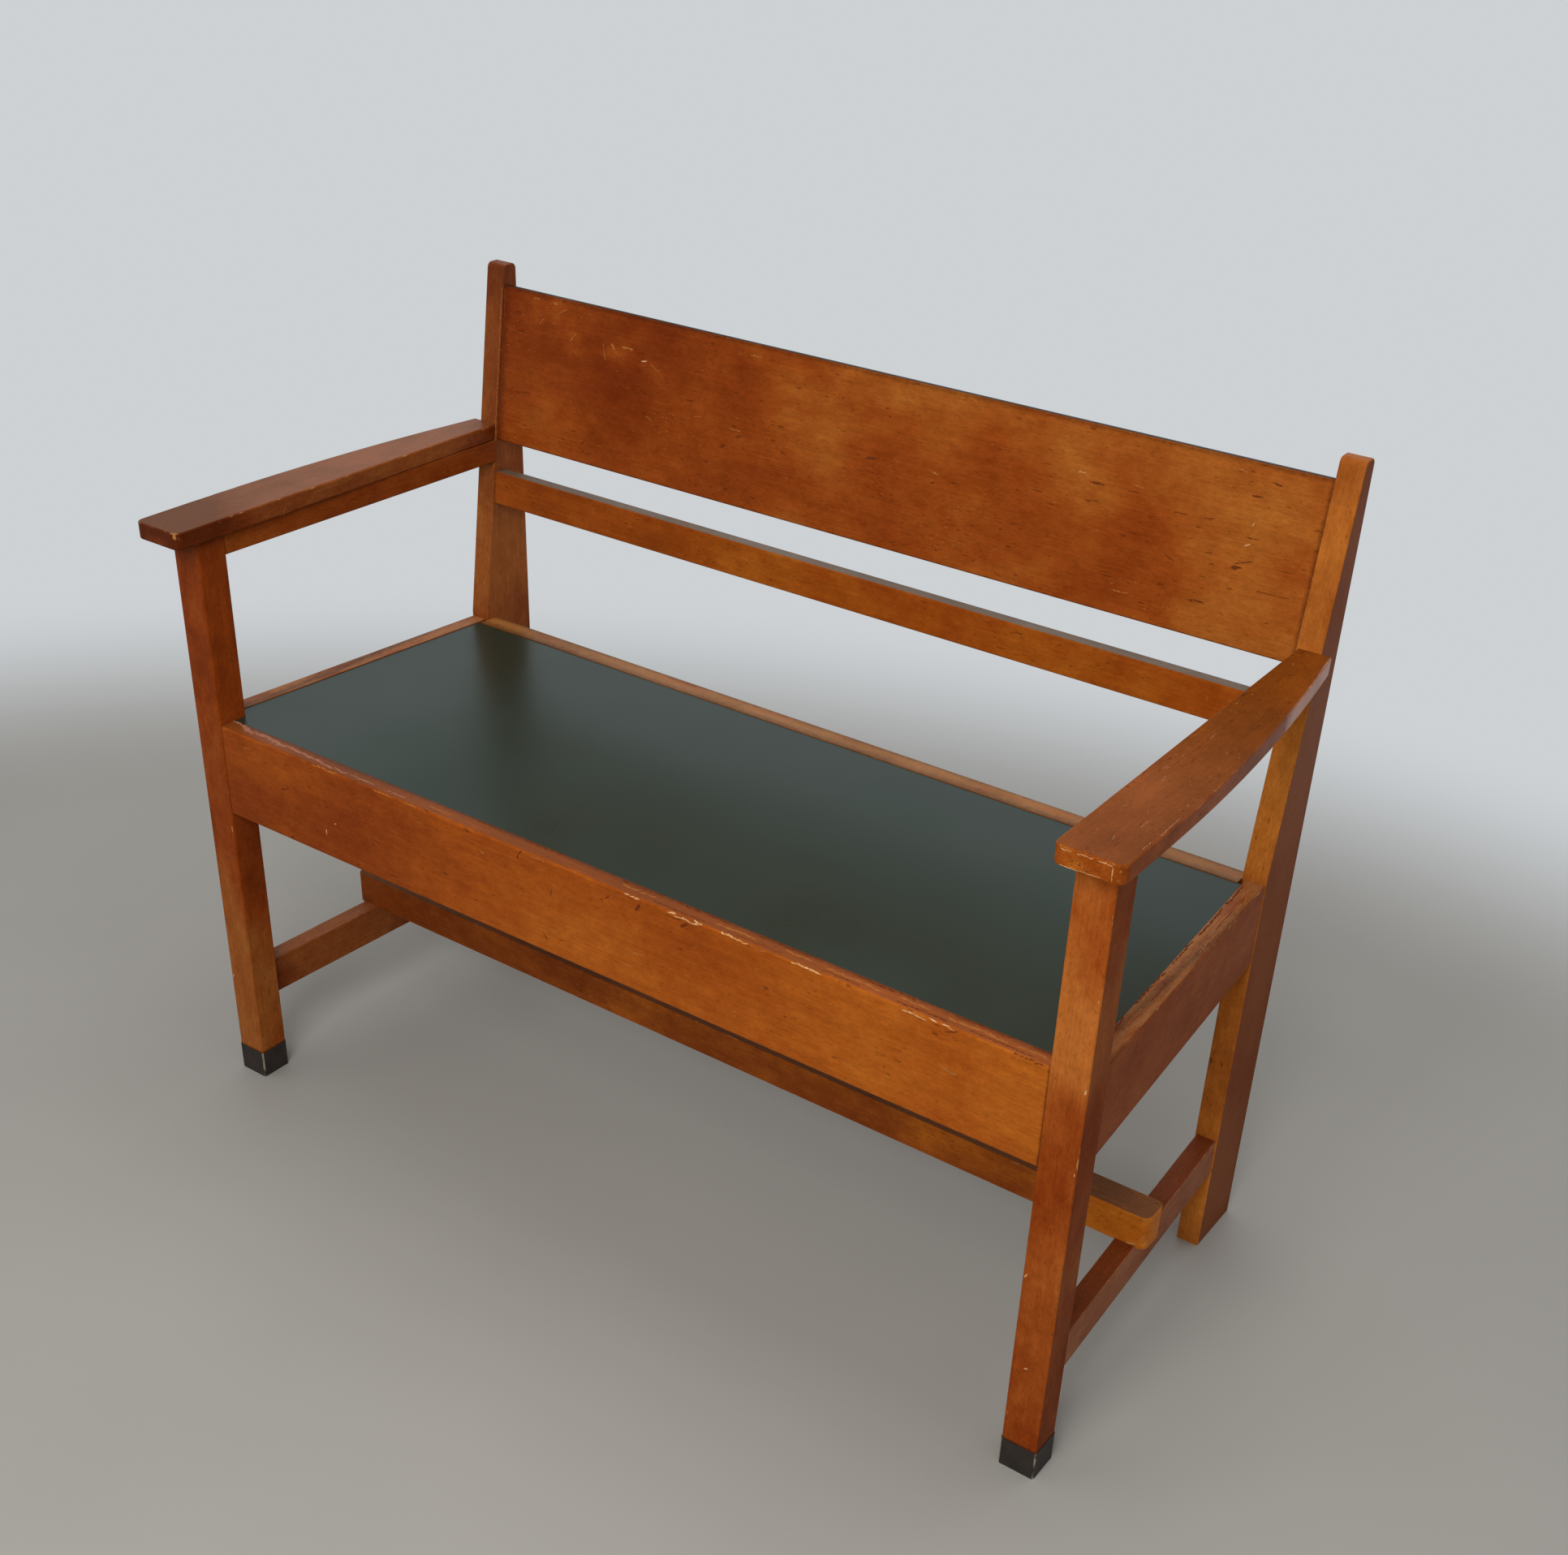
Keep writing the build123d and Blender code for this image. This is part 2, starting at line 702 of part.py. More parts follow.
def side_batten():
    front, back = side_batten_ends()
    plan_width = batten_width / math.cos(math.radians(skew))
    points = []
    for y, width in ((front, 1), (front, 0), (back, 0), (back, 1)):
        points.append((rail_inner_face(y) - width * plan_width, y))
    bar = upright(points, 0, seat_height) & seat_layer(batten_drop, batten_floor_drop)
    for hole in side_batten_screws(joint_clearance):
        bar -= hole
    return bar


def batten_middle(y):
    return seat_line(y) - (batten_drop + batten_floor_drop) / 2


def wood_screw(grown):
    return screw(screw_diameter, screw_head_diameter, screw_head_height,
                 wood_screw_length, grown)


def arm_screws(grown=0.0):
    """The screws up through the right arm rail into the arm board."""
    screws = []
    for share in arm_screw_shares:
        y = leg_back + share * rail_run
        foot = Pos(arm_rail_middle(y), y, arm_underside - arm_rail_height) * Rot(X=180)
        screws.append(foot * wood_screw(grown))
    return screws


def long_batten_screws(grown=0.0):
    """The screws of the front battens, then those of the rear battens, both sides."""
    x0, x1 = long_batten_span()
    front = []
    rear = []
    for share in long_batten_screw_shares:
        x = x0 + share * (x1 - x0)
        y = seat_front + batten_width
        forward = Pos(x, y, batten_middle(y)) * Rot(X=-90) * wood_screw(grown)
        y = seat_back - batten_width
        back = Pos(x, y, batten_middle(y)) * Rot(X=90) * wood_screw(grown)
        front += [forward, other_side(forward)]
        rear += [back, other_side(back)]
    return front, rear


def side_batten_screws(grown=0.0):
    front, back = side_batten_ends()
    screws = []
    for share in side_batten_screw_shares:
        y = front + share * (back - front)
        face = Pos(rail_inner_face(y), y, batten_middle(y)) * Rot(Z=skew)
        screws.append(face * Pos(-batten_width, 0, 0) * Rot(Y=-90) * wood_screw(grown))
    return screws


def stretcher_screws(grown=0.0):
    """Two screws up through the right side stretcher into the long stretcher."""
    middle = leg_front + long_stretcher_back + long_stretcher_depth / 2
    screws = []
    for side in (-1, 1):
        y = middle + side * stretcher_screw_pitch / 2
        foot = Pos(stretcher_middle(y), y, side_stretcher_floor) * Rot(X=180)
        screws.append(foot * screw(stretcher_screw_diameter, stretcher_screw_head_diameter,
                                   stretcher_screw_head_height, stretcher_screw_length, grown))
    return screws


def both_sides(solids):
    """One group of separate solids, with its mirror image."""
    return Compound(children=solids + [other_side(solid) for solid in solids])


def write(name, shape):
    export_step(shape, "parts/" + name + ".step")


def write_pair(name, shape):
    write(name + "_right", shape)
    write(name + "_left", other_side(shape))


def main():
    os.makedirs("parts", exist_ok=True)
    write_pair("front_leg", front_leg())
    write_pair("foot_sleeve", foot_sleeve())
    write_pair("rear_leg", rear_leg())
    write_pair("arm", arm())
    write_pair("arm_rail", arm_rail())
    write_pair("side_seat_rail", side_seat_rail())
    write_pair("side_stretcher", side_stretcher())
    write_pair("front_batten", front_batten())
    write_pair("rear_batten", rear_batten())
    write_pair("side_batten", side_batten())
    write("front_seat_rail", front_seat_rail())
    write("rear_seat_rail", rear_seat_rail())
    write("long_stretcher", long_stretcher())
    write("back_panel", back_panel())
    write("lower_back_rail", lower_back_rail())
    write("seat_board", seat_board())
    write("seat_linoleum", seat_linoleum())
    write("seat_bearer", bearer_body())
    write("arm_dowels", both_sides(dowels()))
    write("arm_screws", both_sides(arm_screws()))
    front_screws, rear_screws = long_batten_screws()
    side_screws = side_batten_screws()
    side_screws += [other_side(one) for one in side_screws]
    write("batten_screws", Compound(children=front_screws + rear_screws + side_screws))
    write("stretcher_screws", both_sides(stretcher_screws()))


main()
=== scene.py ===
# %% [markdown]
# # A two-seat settle, dressed for the camera
#
# The settle itself comes in as a finished CAD assembly: legs, rails, arm boards, panel and seat.
# Blender's task is everything that drawings don't hold: stained and varnished wood with worn
# edges, old linoleum, rubber on the feet, small damage, light and a camera.
# The CAD pieces keep their places, so that every tool that uses them agrees on where they are.

# %% Load the settle
import bpy
import math
import random
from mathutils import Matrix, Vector


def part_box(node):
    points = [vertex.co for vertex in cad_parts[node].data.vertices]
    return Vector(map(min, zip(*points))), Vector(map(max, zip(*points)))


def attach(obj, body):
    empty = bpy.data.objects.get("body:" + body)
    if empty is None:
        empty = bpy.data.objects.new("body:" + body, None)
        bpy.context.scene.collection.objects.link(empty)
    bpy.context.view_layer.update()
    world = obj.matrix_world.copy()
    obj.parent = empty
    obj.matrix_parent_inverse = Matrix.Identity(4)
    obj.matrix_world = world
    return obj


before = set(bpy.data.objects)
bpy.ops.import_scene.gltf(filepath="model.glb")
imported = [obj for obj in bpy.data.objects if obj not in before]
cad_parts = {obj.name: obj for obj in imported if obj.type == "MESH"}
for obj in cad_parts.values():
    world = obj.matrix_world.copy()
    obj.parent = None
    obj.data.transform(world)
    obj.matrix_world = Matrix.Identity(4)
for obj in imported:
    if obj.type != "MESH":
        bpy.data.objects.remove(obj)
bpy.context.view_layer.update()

# %% [markdown]
# A few small helpers serve the whole lesson. Lengths are thought of in millimetres, because that
# is how a joiner speaks, and Blender works in metres. Colours are read off as sRGB hex values,
# but shaders count light, so one function turns them linear. A material is a tree of nodes, and
# one function adds a node with its settings and links, which keeps each recipe to a few lines.
# A node has several outputs, of which its settings leave one in use: that one is linked.


# %% Helpers
def mm(length):
    """A length in millimetres as metres."""
    return length / 1000


def colour(hex_code):
    """An sRGB hex colour as linear red, green, blue and alpha."""
    channels = [int(hex_code[i:i + 2], 16) / 255 for i in (1, 3, 5)]
    linear = [c / 12.92 if c <= 0.04045 else ((c + 0.055) / 1.055) ** 2.4 for c in channels]
    return (*linear, 1.0)


def feed(tree, node, inputs):
    """Gives each input a value, a hex colour, or the node or socket that feeds it."""
    for name, value in inputs.items():
        if isinstance(value, bpy.types.Node):
            value = next(socket for socket in value.outputs if socket.enabled)
        if isinstance(value, bpy.types.NodeSocket):
            tree.links.new(value, node.inputs[name])
        else:
            node.inputs[name].default_value = colour(value) if isinstance(value, str) else value


def add(tree, kind, inputs=None, **settings):
    """Adds a node with its settings and what feeds it."""
    made = tree.nodes.new("ShaderNode" + kind)
    for name, value in settings.items():
        setattr(made, name, value)
    feed(tree, made, inputs or {})
    return made


def new_material(name):
    material = bpy.data.materials.new(name)
    material.use_nodes = True
    return material, material.node_tree, material.node_tree.nodes["Principled BSDF"]


print("stain brown as linear light:", [round(c, 3) for c in colour("#8a4515")])

# %% [markdown]
# The camera stands where the picture was taken from: to the right of the settle, above the
# backrest, looking down. Lens, place and turn were worked out by matching the long straight
# edges of the bench, and the lens shift says that the picture was cropped from a larger one.

# %% Camera
camera = bpy.data.objects.new("camera", bpy.data.cameras.new("camera"))
bpy.context.collection.objects.link(camera)
camera.location = (1.0775, -1.4673, 1.4115)  # metres, and the lens is in millimetres
camera.rotation_euler = [math.radians(angle) for angle in (56.924, -1.676, 35.941)]
camera.data.sensor_width = 36
camera.data.lens = 46.285
camera.data.shift_x = 0.01277
camera.data.shift_y = 0.1290
camera.data.clip_start = 0.05
bpy.context.scene.camera = camera
print("camera height in mm:", round(1000 * camera.location.z))

# %% [markdown]
# Wood shows its colour best in broad, soft light. The main lamp hangs in front and a little to
# the right, so the right end of the settle is brighter, and the outer sides of the legs stay in
# half shade. A weaker lamp fills from the left, and one hangs over the back. The world gives low
# light from all round, but the camera and reflections see it pale, so the arm boards and the
# linoleum pick up the sheen of a white room.


# %% Lamps and world
def lamp(name, place, target, size, watts):
    """A square lamp at a place, aimed at a target, with lengths in metres."""
    data = bpy.data.lights.new(name, "AREA")
    data.shape = "SQUARE"
    data.size = size
    data.energy = watts
    made = bpy.data.objects.new(name, data)
    made.location = place
    made.rotation_euler = (Vector(target) - Vector(place)).to_track_quat("-Z", "Y").to_euler()
    bpy.context.collection.objects.link(made)


lamp("main_light", (0.62, -1.95, 2.05), (0.25, 0, 0.45), 1.1, 36)
lamp("fill_light", (-2.2, -1.8, 2.2), (-0.1, 0, 0.4), 1.8, 9)
lamp("ceiling_light", (0.2, 0.6, 3.2), (0, 0, 0.4), 2.2, 22)

world = bpy.data.worlds.new("pale_room")
bpy.context.scene.world = world
world.use_nodes = True
room = world.node_tree
room.nodes.clear()
path = add(room, "LightPath").outputs
seen = add(room, "Math", {0: path["Is Camera Ray"], 1: path["Is Glossy Ray"]}, operation="MAXIMUM")
seen = add(room, "Math", {0: seen, 1: path["Is Transmission Ray"]}, operation="MAXIMUM")
dim = add(room, "Background", {"Color": "#e9ecf0", "Strength": 0.46})
pale = add(room, "Background", {"Color": "#cdd1d4", "Strength": 1.0})
add(room, "OutputWorld", {"Surface": add(room, "MixShader", {0: seen, 1: dim, 2: pale})})
bpy.context.scene.view_settings.view_transform = "Standard"

# %% [markdown]
# The floor is plain painted concrete, grey in front of the settle and under it. Further away it
# soon fades to the pale colour of the room, so no horizon line cuts the picture, from whichever
# side it is seen. The fade is a distance in the floor's own coordinates, measured from a point
# in front of the seat.

# %% Floor
FLOOR_RADIUS = 7
FADE_CENTRE = (0.35, -1.3, 0)
FADE_FROM, FADE_TO = 2.05, 2.95
bpy.ops.mesh.primitive_circle_add(vertices=96, radius=FLOOR_RADIUS, fill_type="NGON",
                                  location=(0, 0, 0))
floor = bpy.context.object
floor.name = "floor"
painted_floor, tree, shader = new_material("grey_floor_paint")
place = add(tree, "TexCoord").outputs["Object"]
offset = add(tree, "VectorMath", {0: place, 1: FADE_CENTRE}, operation="SUBTRACT")
distance = add(tree, "VectorMath", {0: offset}, operation="LENGTH")
fade = add(tree, "MapRange", {"Value": distance, "From Min": FADE_FROM, "From Max": FADE_TO},
           interpolation_type="SMOOTHERSTEP")
clouds = add(tree, "TexNoise", {"Vector": place, "Scale": 2.0, "Detail": 4.0})
grey = add(tree, "Mix", {0: clouds, 6: "#9f9b94", 7: "#aaa69e"}, data_type="RGBA")
feed(tree, shader, {"Base Color": grey, "Roughness": 0.6})
room_colour = add(tree, "Emission", {"Color": "#cdd1d4", "Strength": 1.0})
blend = add(tree, "MixShader", {0: fade, 1: shader, 2: room_colour})
feed(tree, tree.nodes["Material Output"], {"Surface": blend})
floor.data.materials.append(painted_floor)
print("floor radius in m:", round(floor.dimensions.x / 2, 2))

# %% [markdown]
# ## Stained beech
#
# Benches of this kind are beech, stained brown and then varnished. Beech has no bold grain:
# the eye sees a calm orange brown with soft clouds where the stain soaked in unevenly, short
# dark flecks a few millimetres long that run with the board, and dots of old dirt. A photo
# texture could give this, but noise in the board's own coordinates is sharp at any distance and
# follows the length of each board. Each layer below is one function, so that it can be read
# alone: the stain, the top faces, the flecks, the dark seams of dirt and painted shade, and the
# worn edges.

# %% Coordinates along a board
AXES = "XYZ"


def stretched(tree, place, along, length_mm, width_mm):
    """Coordinates in which one unit is length_mm along the board and width_mm across it."""
    scale = [1000 / width_mm] * 3
    scale[AXES.index(along)] = 1000 / length_mm
    return add(tree, "VectorMath", {0: place, 1: scale}, operation="MULTIPLY")


# %% [markdown]
# The stain mixes three browns by one cloudy value. The clouds are 150 by 90 mm and the mottle
# inside them 24 by 14 mm, the long way with the board. The value can be tilted along x, which
# paints a board lighter towards the right as painted light falling from the right. Boards can
# also have large patches: each is a soft ball of darker or lighter stain, given by its centre,
# its radius and its strength, and a slow noise bends its outline. Most are where hands, coats or
# a wet cloth have been; the one at the right end of the long stretcher is a painted pool of light.


# %% Uneven stain
BEND = 60  # mm: the noise pushes a patch's outline by half of this either way


def uneven_stain(tree, place, along, browns, cloudy, slope, patches):
    cloud = add(tree, "TexNoise", {"Vector": stretched(tree, place, along, 150, 90), "Scale": 1.0,
                                   "Detail": 5.0, "Roughness": 0.6})
    cloud = add(tree, "MapRange", {"Value": cloud, "From Min": 0.3, "From Max": 0.7,
                                   "To Min": 0.5 - 0.5 * cloudy, "To Max": 0.5 + 0.5 * cloudy})
    across = add(tree, "SeparateXYZ", {0: place}).outputs["X"]
    # Painted light: the tilt makes a board lighter towards the right.
    cloud = add(tree, "Math", {0: across, 1: slope, 2: cloud}, operation="MULTIPLY_ADD")
    if patches:
        bend = add(tree, "TexNoise", {"Vector": place, "Scale": 1000 / 50, "Detail": 4.0})
        bend = add(tree, "VectorMath", {0: bend.outputs["Color"], 1: (mm(BEND),) * 3, 2: place},
                   operation="MULTIPLY_ADD")
    for x, y, z, radius, strength in patches:
        centre = [mm(length + BEND / 2) for length in (x, y, z)]
        away = add(tree, "VectorMath", {0: bend, 1: centre}, operation="DISTANCE")
        soft = add(tree, "MapRange", {"Value": away, "From Min": mm(radius), "From Max": 0.0,
                                      "To Max": strength}, interpolation_type="SMOOTHSTEP")
        cloud = add(tree, "Math", {0: cloud, 1: soft})
    stain = browns[0]
    for start, brown in ((0.15, browns[1]), (0.5, browns[2])):
        share = add(tree, "MapRange", {"Value": cloud, "From Min": start, "From Max": start + 0.35})
        stain = add(tree, "Mix", {0: share, 6: stain, 7: brown}, data_type="RGBA")
    mottle = add(tree, "TexNoise", {"Vector": stretched(tree, place, along, 24, 14), "Scale": 1.0,
                                    "Detail": 6.0, "Roughness": 0.65})
    mottle = add(tree, "MapRange", {"Value": mottle, "From Min": 0.3, "From Max": 0.7})
    mottle = add(tree, "Mix", {0: mottle, 6: (0.87, 0.80, 0.74, 1), 7: (1.13, 1.20, 1.26, 1)},
                 data_type="RGBA")
    stain = add(tree, "VectorMath", {0: stain, 1: mottle}, operation="MULTIPLY")
    return stain, cloud


# %% [markdown]
# Upward faces get a tone of their own. On the arms and seat rails it is wear: sleeves and
# cloths rub the varnish dull and pale. The panel's top edge is simply darker, and the darker
# top of the long stretcher, in the shade under the seat, is painted shade. The surface
# direction finds them, and a noise of streaks 60 by 12 mm lets the old colour show through in
# places. The clouds of the stain stay faintly visible under the top tone.


# %% Top faces
# The top tone is wear on most boards and painted shade on the long stretcher.
def top_wear_and_shade(tree, place, along, wood, cloud, tone, cover):
    upward = add(tree, "SeparateXYZ", {0: add(tree, "NewGeometry").outputs["Normal"]}).outputs["Z"]
    upward = add(tree, "MapRange", {"Value": upward, "From Min": 0.75, "From Max": 0.97})
    patch = add(tree, "TexNoise", {"Vector": stretched(tree, place, along, 60, 12), "Scale": 1.0,
                                   "Detail": 5.0, "Roughness": 0.65})
    patch = add(tree, "MapRange", {"Value": patch, "From Min": 0.70 - 0.55 * cover,
                                   "From Max": 0.86 - 0.55 * cover})
    share = add(tree, "Math", {0: upward, 1: patch}, operation="MULTIPLY")
    light = add(tree, "MapRange", {"Value": cloud, "From Min": 0.1, "From Max": 0.9,
                                   "To Min": 0.66, "To Max": 1.3})
    tone = add(tree, "VectorMath", {0: colour(tone)[:3], 1: light}, operation="MULTIPLY")
    return add(tree, "Mix", {0: share, 6: wood, 7: tone}, data_type="RGBA"), upward


# %% [markdown]
# Flecks are the cut ends of beech's rays, drawn as a stretched noise of which only the peaks
# count. Real ones are some 3 mm long and half a millimetre wide. That is too fine to show from
# here, so they are drawn 5 mm long and 1.2 mm wide. Bigger dark ticks are old dents with dirt
# in them, and pale ones are places where the varnish has been knocked. A slow noise gathers
# both in some places and leaves others clean.


# %% Flecks, dents and knocks
def flecked(tree, place, along, wood, dents):
    streak = add(tree, "TexNoise", {"Vector": stretched(tree, place, along, 60, 2.2), "Scale": 1.0,
                                    "Detail": 3.0})
    streak = add(tree, "MapRange", {"Value": streak, "From Min": 0.35, "From Max": 0.65,
                                    "To Min": 0.92, "To Max": 1.06})
    fine = add(tree, "TexNoise", {"Vector": stretched(tree, place, along, 6.5, 2.6), "Scale": 1.0,
                                  "Detail": 4.0, "Roughness": 0.7})
    grainy = add(tree, "MapRange", {"Value": fine, "From Min": 0.3, "From Max": 0.7,
                                    "To Min": 0.88, "To Max": 1.12})
    tone = add(tree, "Math", {0: streak, 1: grainy}, operation="MULTIPLY")
    wood = add(tree, "VectorMath", {0: wood, 1: tone}, operation="MULTIPLY")
    fleck = add(tree, "TexNoise", {"Vector": stretched(tree, place, along, 5, 1.2), "Scale": 1.0,
                                   "Detail": 2.0})
    fleck = add(tree, "MapRange", {"Value": fleck, "From Min": 0.58, "From Max": 0.72,
                                   "To Max": 0.28})
    wood = add(tree, "Mix", {0: fleck, 6: wood, 7: "#4a1c08"}, data_type="RGBA")
    where = add(tree, "TexNoise", {"Vector": stretched(tree, place, along, 80, 50), "Scale": 1.0,
                                   "Detail": 2.0})
    gathered = add(tree, "MapRange", {"Value": where, "From Min": 0.38, "From Max": 0.66,
                                      "To Max": 0.07 * dents})
    for length, width, hue, edge, most in ((11, 2.8, "#4c1f0a", 0.71, 0.55),
                                           (4, 3, "#421808", 0.75, 0.5),
                                           (7, 2.2, "#bf7a40", 0.74, 0.35)):
        tick = add(tree, "TexNoise", {"Vector": stretched(tree, place, along, length, width),
                                      "Scale": 1.0, "Detail": 1.5})
        tick = add(tree, "Math", {0: tick, 1: gathered})
        tick = add(tree, "MapRange", {"Value": tick, "From Min": edge, "From Max": edge + 0.05,
                                      "To Max": most})
        wood = add(tree, "Mix", {0: tick, 6: wood, 7: hue}, data_type="RGBA")
    return wood, fine


# %% [markdown]
# Where two boards meet and beside the linoleum a thin ragged dark line is drawn: partly dirt
# and old polish, partly painted shade in place of the shadow in the seam. Each seam is a plane:
# an axis, a place on it and how far the dark line reaches. Only faces that cross the plane are
# darkened, not the one that lies in it. Worn edges are found by the surface direction: the CAD
# boards have really rounded edges, and there the surface faces none of the three main
# directions. A noise breaks the worn line into patches about 30 mm long, because hands and
# knees don't wear an edge evenly.


# %% Seams and worn edges
def facing_axes(tree):
    """How far the surface faces x, y and z, whichever way round."""
    normal = add(tree, "NewGeometry").outputs["Normal"]
    facing = add(tree, "VectorMath", {0: normal}, operation="ABSOLUTE")
    return add(tree, "SeparateXYZ", {0: facing}).outputs


# The dark seam line is partly dirt and partly painted contact shade.
def seam_dirt_and_shade(tree, place, wood, seams):
    ragged = add(tree, "TexNoise", {"Vector": place, "Scale": 1000 / 6, "Detail": 4.0,
                                    "Roughness": 0.7})
    split = add(tree, "SeparateXYZ", {0: place}).outputs
    facing = facing_axes(tree)
    for axis, at, reach in seams:
        away = add(tree, "Math", {0: split[axis], 1: mm(at)}, operation="SUBTRACT")
        away = add(tree, "Math", {0: away}, operation="ABSOLUTE")
        away = add(tree, "Math", {0: ragged, 1: mm(1.6 * reach), 2: away},
                   operation="MULTIPLY_ADD")
        dirt_and_shade = add(tree, "MapRange", {"Value": away, "From Min": mm(1.9 * reach),
                                      "From Max": mm(0.6 * reach), "To Max": 0.7})
        crossing = add(tree, "MapRange", {"Value": facing[axis], "From Min": 0.9, "From Max": 0.6})
        dirt_and_shade = add(tree, "Math", {0: dirt_and_shade, 1: crossing}, operation="MULTIPLY")
        wood = add(tree, "Mix", {0: dirt_and_shade, 6: wood, 7: "#2c1409"}, data_type="RGBA")
    return wood


def edge_wear_and_highlight(tree, place, along, wood, wear, tone):
    facing = facing_axes(tree)
    most = add(tree, "Math", {0: facing["X"], 1: facing["Y"]}, operation="MAXIMUM")
    most = add(tree, "Math", {0: most, 1: facing["Z"]}, operation="MAXIMUM")
    rounded = add(tree, "MapRange", {"Value": most, "From Min": 0.965, "From Max": 0.88})
    patch = add(tree, "TexNoise", {"Vector": stretched(tree, place, along, 30, 9), "Scale": 1.0,
                                   "Detail": 6.0, "Roughness": 0.75})
    patch = add(tree, "MapRange", {"Value": patch, "From Min": 0.72 - 0.2 * wear,
                                   "From Max": 0.80 - 0.2 * wear, "To Max": 0.8})
    share = add(tree, "Math", {0: rounded, 1: patch}, operation="MULTIPLY")
    return add(tree, "Mix", {0: share, 6: wood, 7: tone}, data_type="RGBA")


# %% [markdown]
# One function stacks the layers and adds the varnish: a satin film, rougher where the stain is
# darker, because dirt dulls it. Old varnish has lost part of its gloss, so the specular level
# is low, and a little higher on top faces, which sleeves have polished. It has also turned
# amber, so its reflection is tinted.
#
# A board's recipe is one call. Its top is a tone, and how much of the upper faces it covers.
# Its side is painted shade: a darker tone, and its strength on the faces that look along x.
# Its gloss is the specular level of the sides, that of the tops, and the roughness. Behind the
# right elbow the arm's side still mirrors the pale room: such a polished spot has a centre, a
# reach and a level.


# %% Stained and varnished beech
def stained_beech(name, along, browns, top=("#8a5030", 0.4), wear=0.5, cloudy=0.6, slope=0.0,
                  dents=0.5, patches=(), seams=(), side_shade=None, gloss=(0.08, 0.2, 0.45),
                  polished=None):
    """Beech with an uneven stain under satin varnish. It gives a warm, calm orange brown
    with a soft sheen, dull upper faces, dark seams, and pale bare wood where an edge is worn."""
    material, tree, shader = new_material(name)
    place = add(tree, "TexCoord").outputs["Object"]
    wood, cloud = uneven_stain(tree, place, along, browns, cloudy, slope, patches)
    wood, upward = top_wear_and_shade(tree, place, along, wood, cloud, *top)
    # Painted shade: faces that look along x are darkened towards the side tone.
    if side_shade:
        tone, strength = side_shade
        side_shade_share = add(tree, "MapRange", {"Value": facing_axes(tree)["X"], "From Min": 0.9,
                                          "From Max": 0.97, "To Max": strength})
        wood = add(tree, "Mix", {0: side_shade_share, 6: wood, 7: tone}, data_type="RGBA")
    wood, fine = flecked(tree, place, along, wood, dents)
    wood = edge_wear_and_highlight(tree, place, along, wood, wear, "#c48a50")
    wood = seam_dirt_and_shade(tree, place, wood, seams)
    sides, tops, roughness = gloss
    if polished:
        x, y, z, reach, level = polished
        away = add(tree, "VectorMath", {0: place, 1: (mm(x), mm(y), mm(z))}, operation="DISTANCE")
        sides = add(tree, "MapRange", {"Value": away, "From Min": mm(0.8 * reach),
                                       "From Max": mm(reach), "To Min": level, "To Max": sides})
    shine = sides
    if tops != sides:
        shine = add(tree, "MapRange", {"Value": upward, "To Min": sides, "To Max": tops})
    rough = add(tree, "MapRange", {"Value": cloud, "From Min": 0.3, "From Max": 0.7,
                                   "To Min": roughness + 0.05, "To Max": roughness - 0.05})
    relief = add(tree, "Bump", {"Height": fine, "Strength": 0.35, "Distance": mm(0.12)})
    feed(tree, shader, {"Base Color": wood, "Roughness": rough, "Specular IOR Level": shine,
                        "Specular Tint": "#ffb070", "Normal": relief})
    return material


def dress(material, *nodes):
    """Puts one material on every slot of the CAD pieces named."""
    for name in nodes:
        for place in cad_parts[name].material_slots:
            place.material = material
    print(material.name, "->", ", ".join(nodes))


# %% [markdown]
# Now each board gets its own mixture. The right front leg is painted lighter and the left one
# darker, as painted light and shade falling from the right. The joints of a leg are the
# undersides of the arm boards and the seat rails.

# %% Legs
# Painted light: lighter browns than the left leg, with a darker side tone as painted shade.
dress(stained_beech("beech_front_leg_right", "Z", ("#86380f", "#9c4c1a", "#b4662a"), wear=0.62,
                    cloudy=0.7, patches=[(518, -224, 500, 120, 0.5), (518, -224, 110, 150, -0.35)],
                    seams=[("Z", 660, 5), ("Z", 33, 3)], side_shade=("#602810", 0.5),
                    gloss=(0.03, 0.2, 0.45)), "front_leg_right")
# Painted shade: darker browns than the right front leg.
dress(stained_beech("beech_front_leg_left", "Z", ("#6a2a0c", "#8a3c10", "#9a5824"), wear=0.5,
                    cloudy=0.7, patches=[(-518, -224, 120, 190, 0.4), (-518, -224, 640, 70, -0.2)],
                    seams=[("Z", 660, 6), ("Z", 33, 3)]), "front_leg_left")
# The darker side tone on this stile is painted shade.
dress(stained_beech("beech_rear_leg_right", "Z", ("#823a10", "#a65c22", "#c8752c"), wear=0.45,
                    cloudy=0.6, patches=[(500, 190, 560, 110, 0.6), (500, 225, 760, 110, 0.14),
                                          (500, 190, 90, 130, 0.35)],
                    side_shade=("#74381a", 0.85), gloss=(0.03, 0.2, 0.45)), "rear_leg_right")
dress(stained_beech("beech_rear_leg_left", "Z", ("#562612", "#7c3c1a", "#985424"), wear=0.4,
                    cloudy=0.6, patches=[(-500, 230, 790, 130, -0.22), (-500, 180, 520, 100, 0.5)]),
      "rear_leg_left")

# %% [markdown]
# The arm boards are where hands rest. Their tops are worn to a dull brown, the left one almost
# to grey, and their front corners are rubbed down to the bare wood. The rails under
# them were never touched and keep the dark stain.

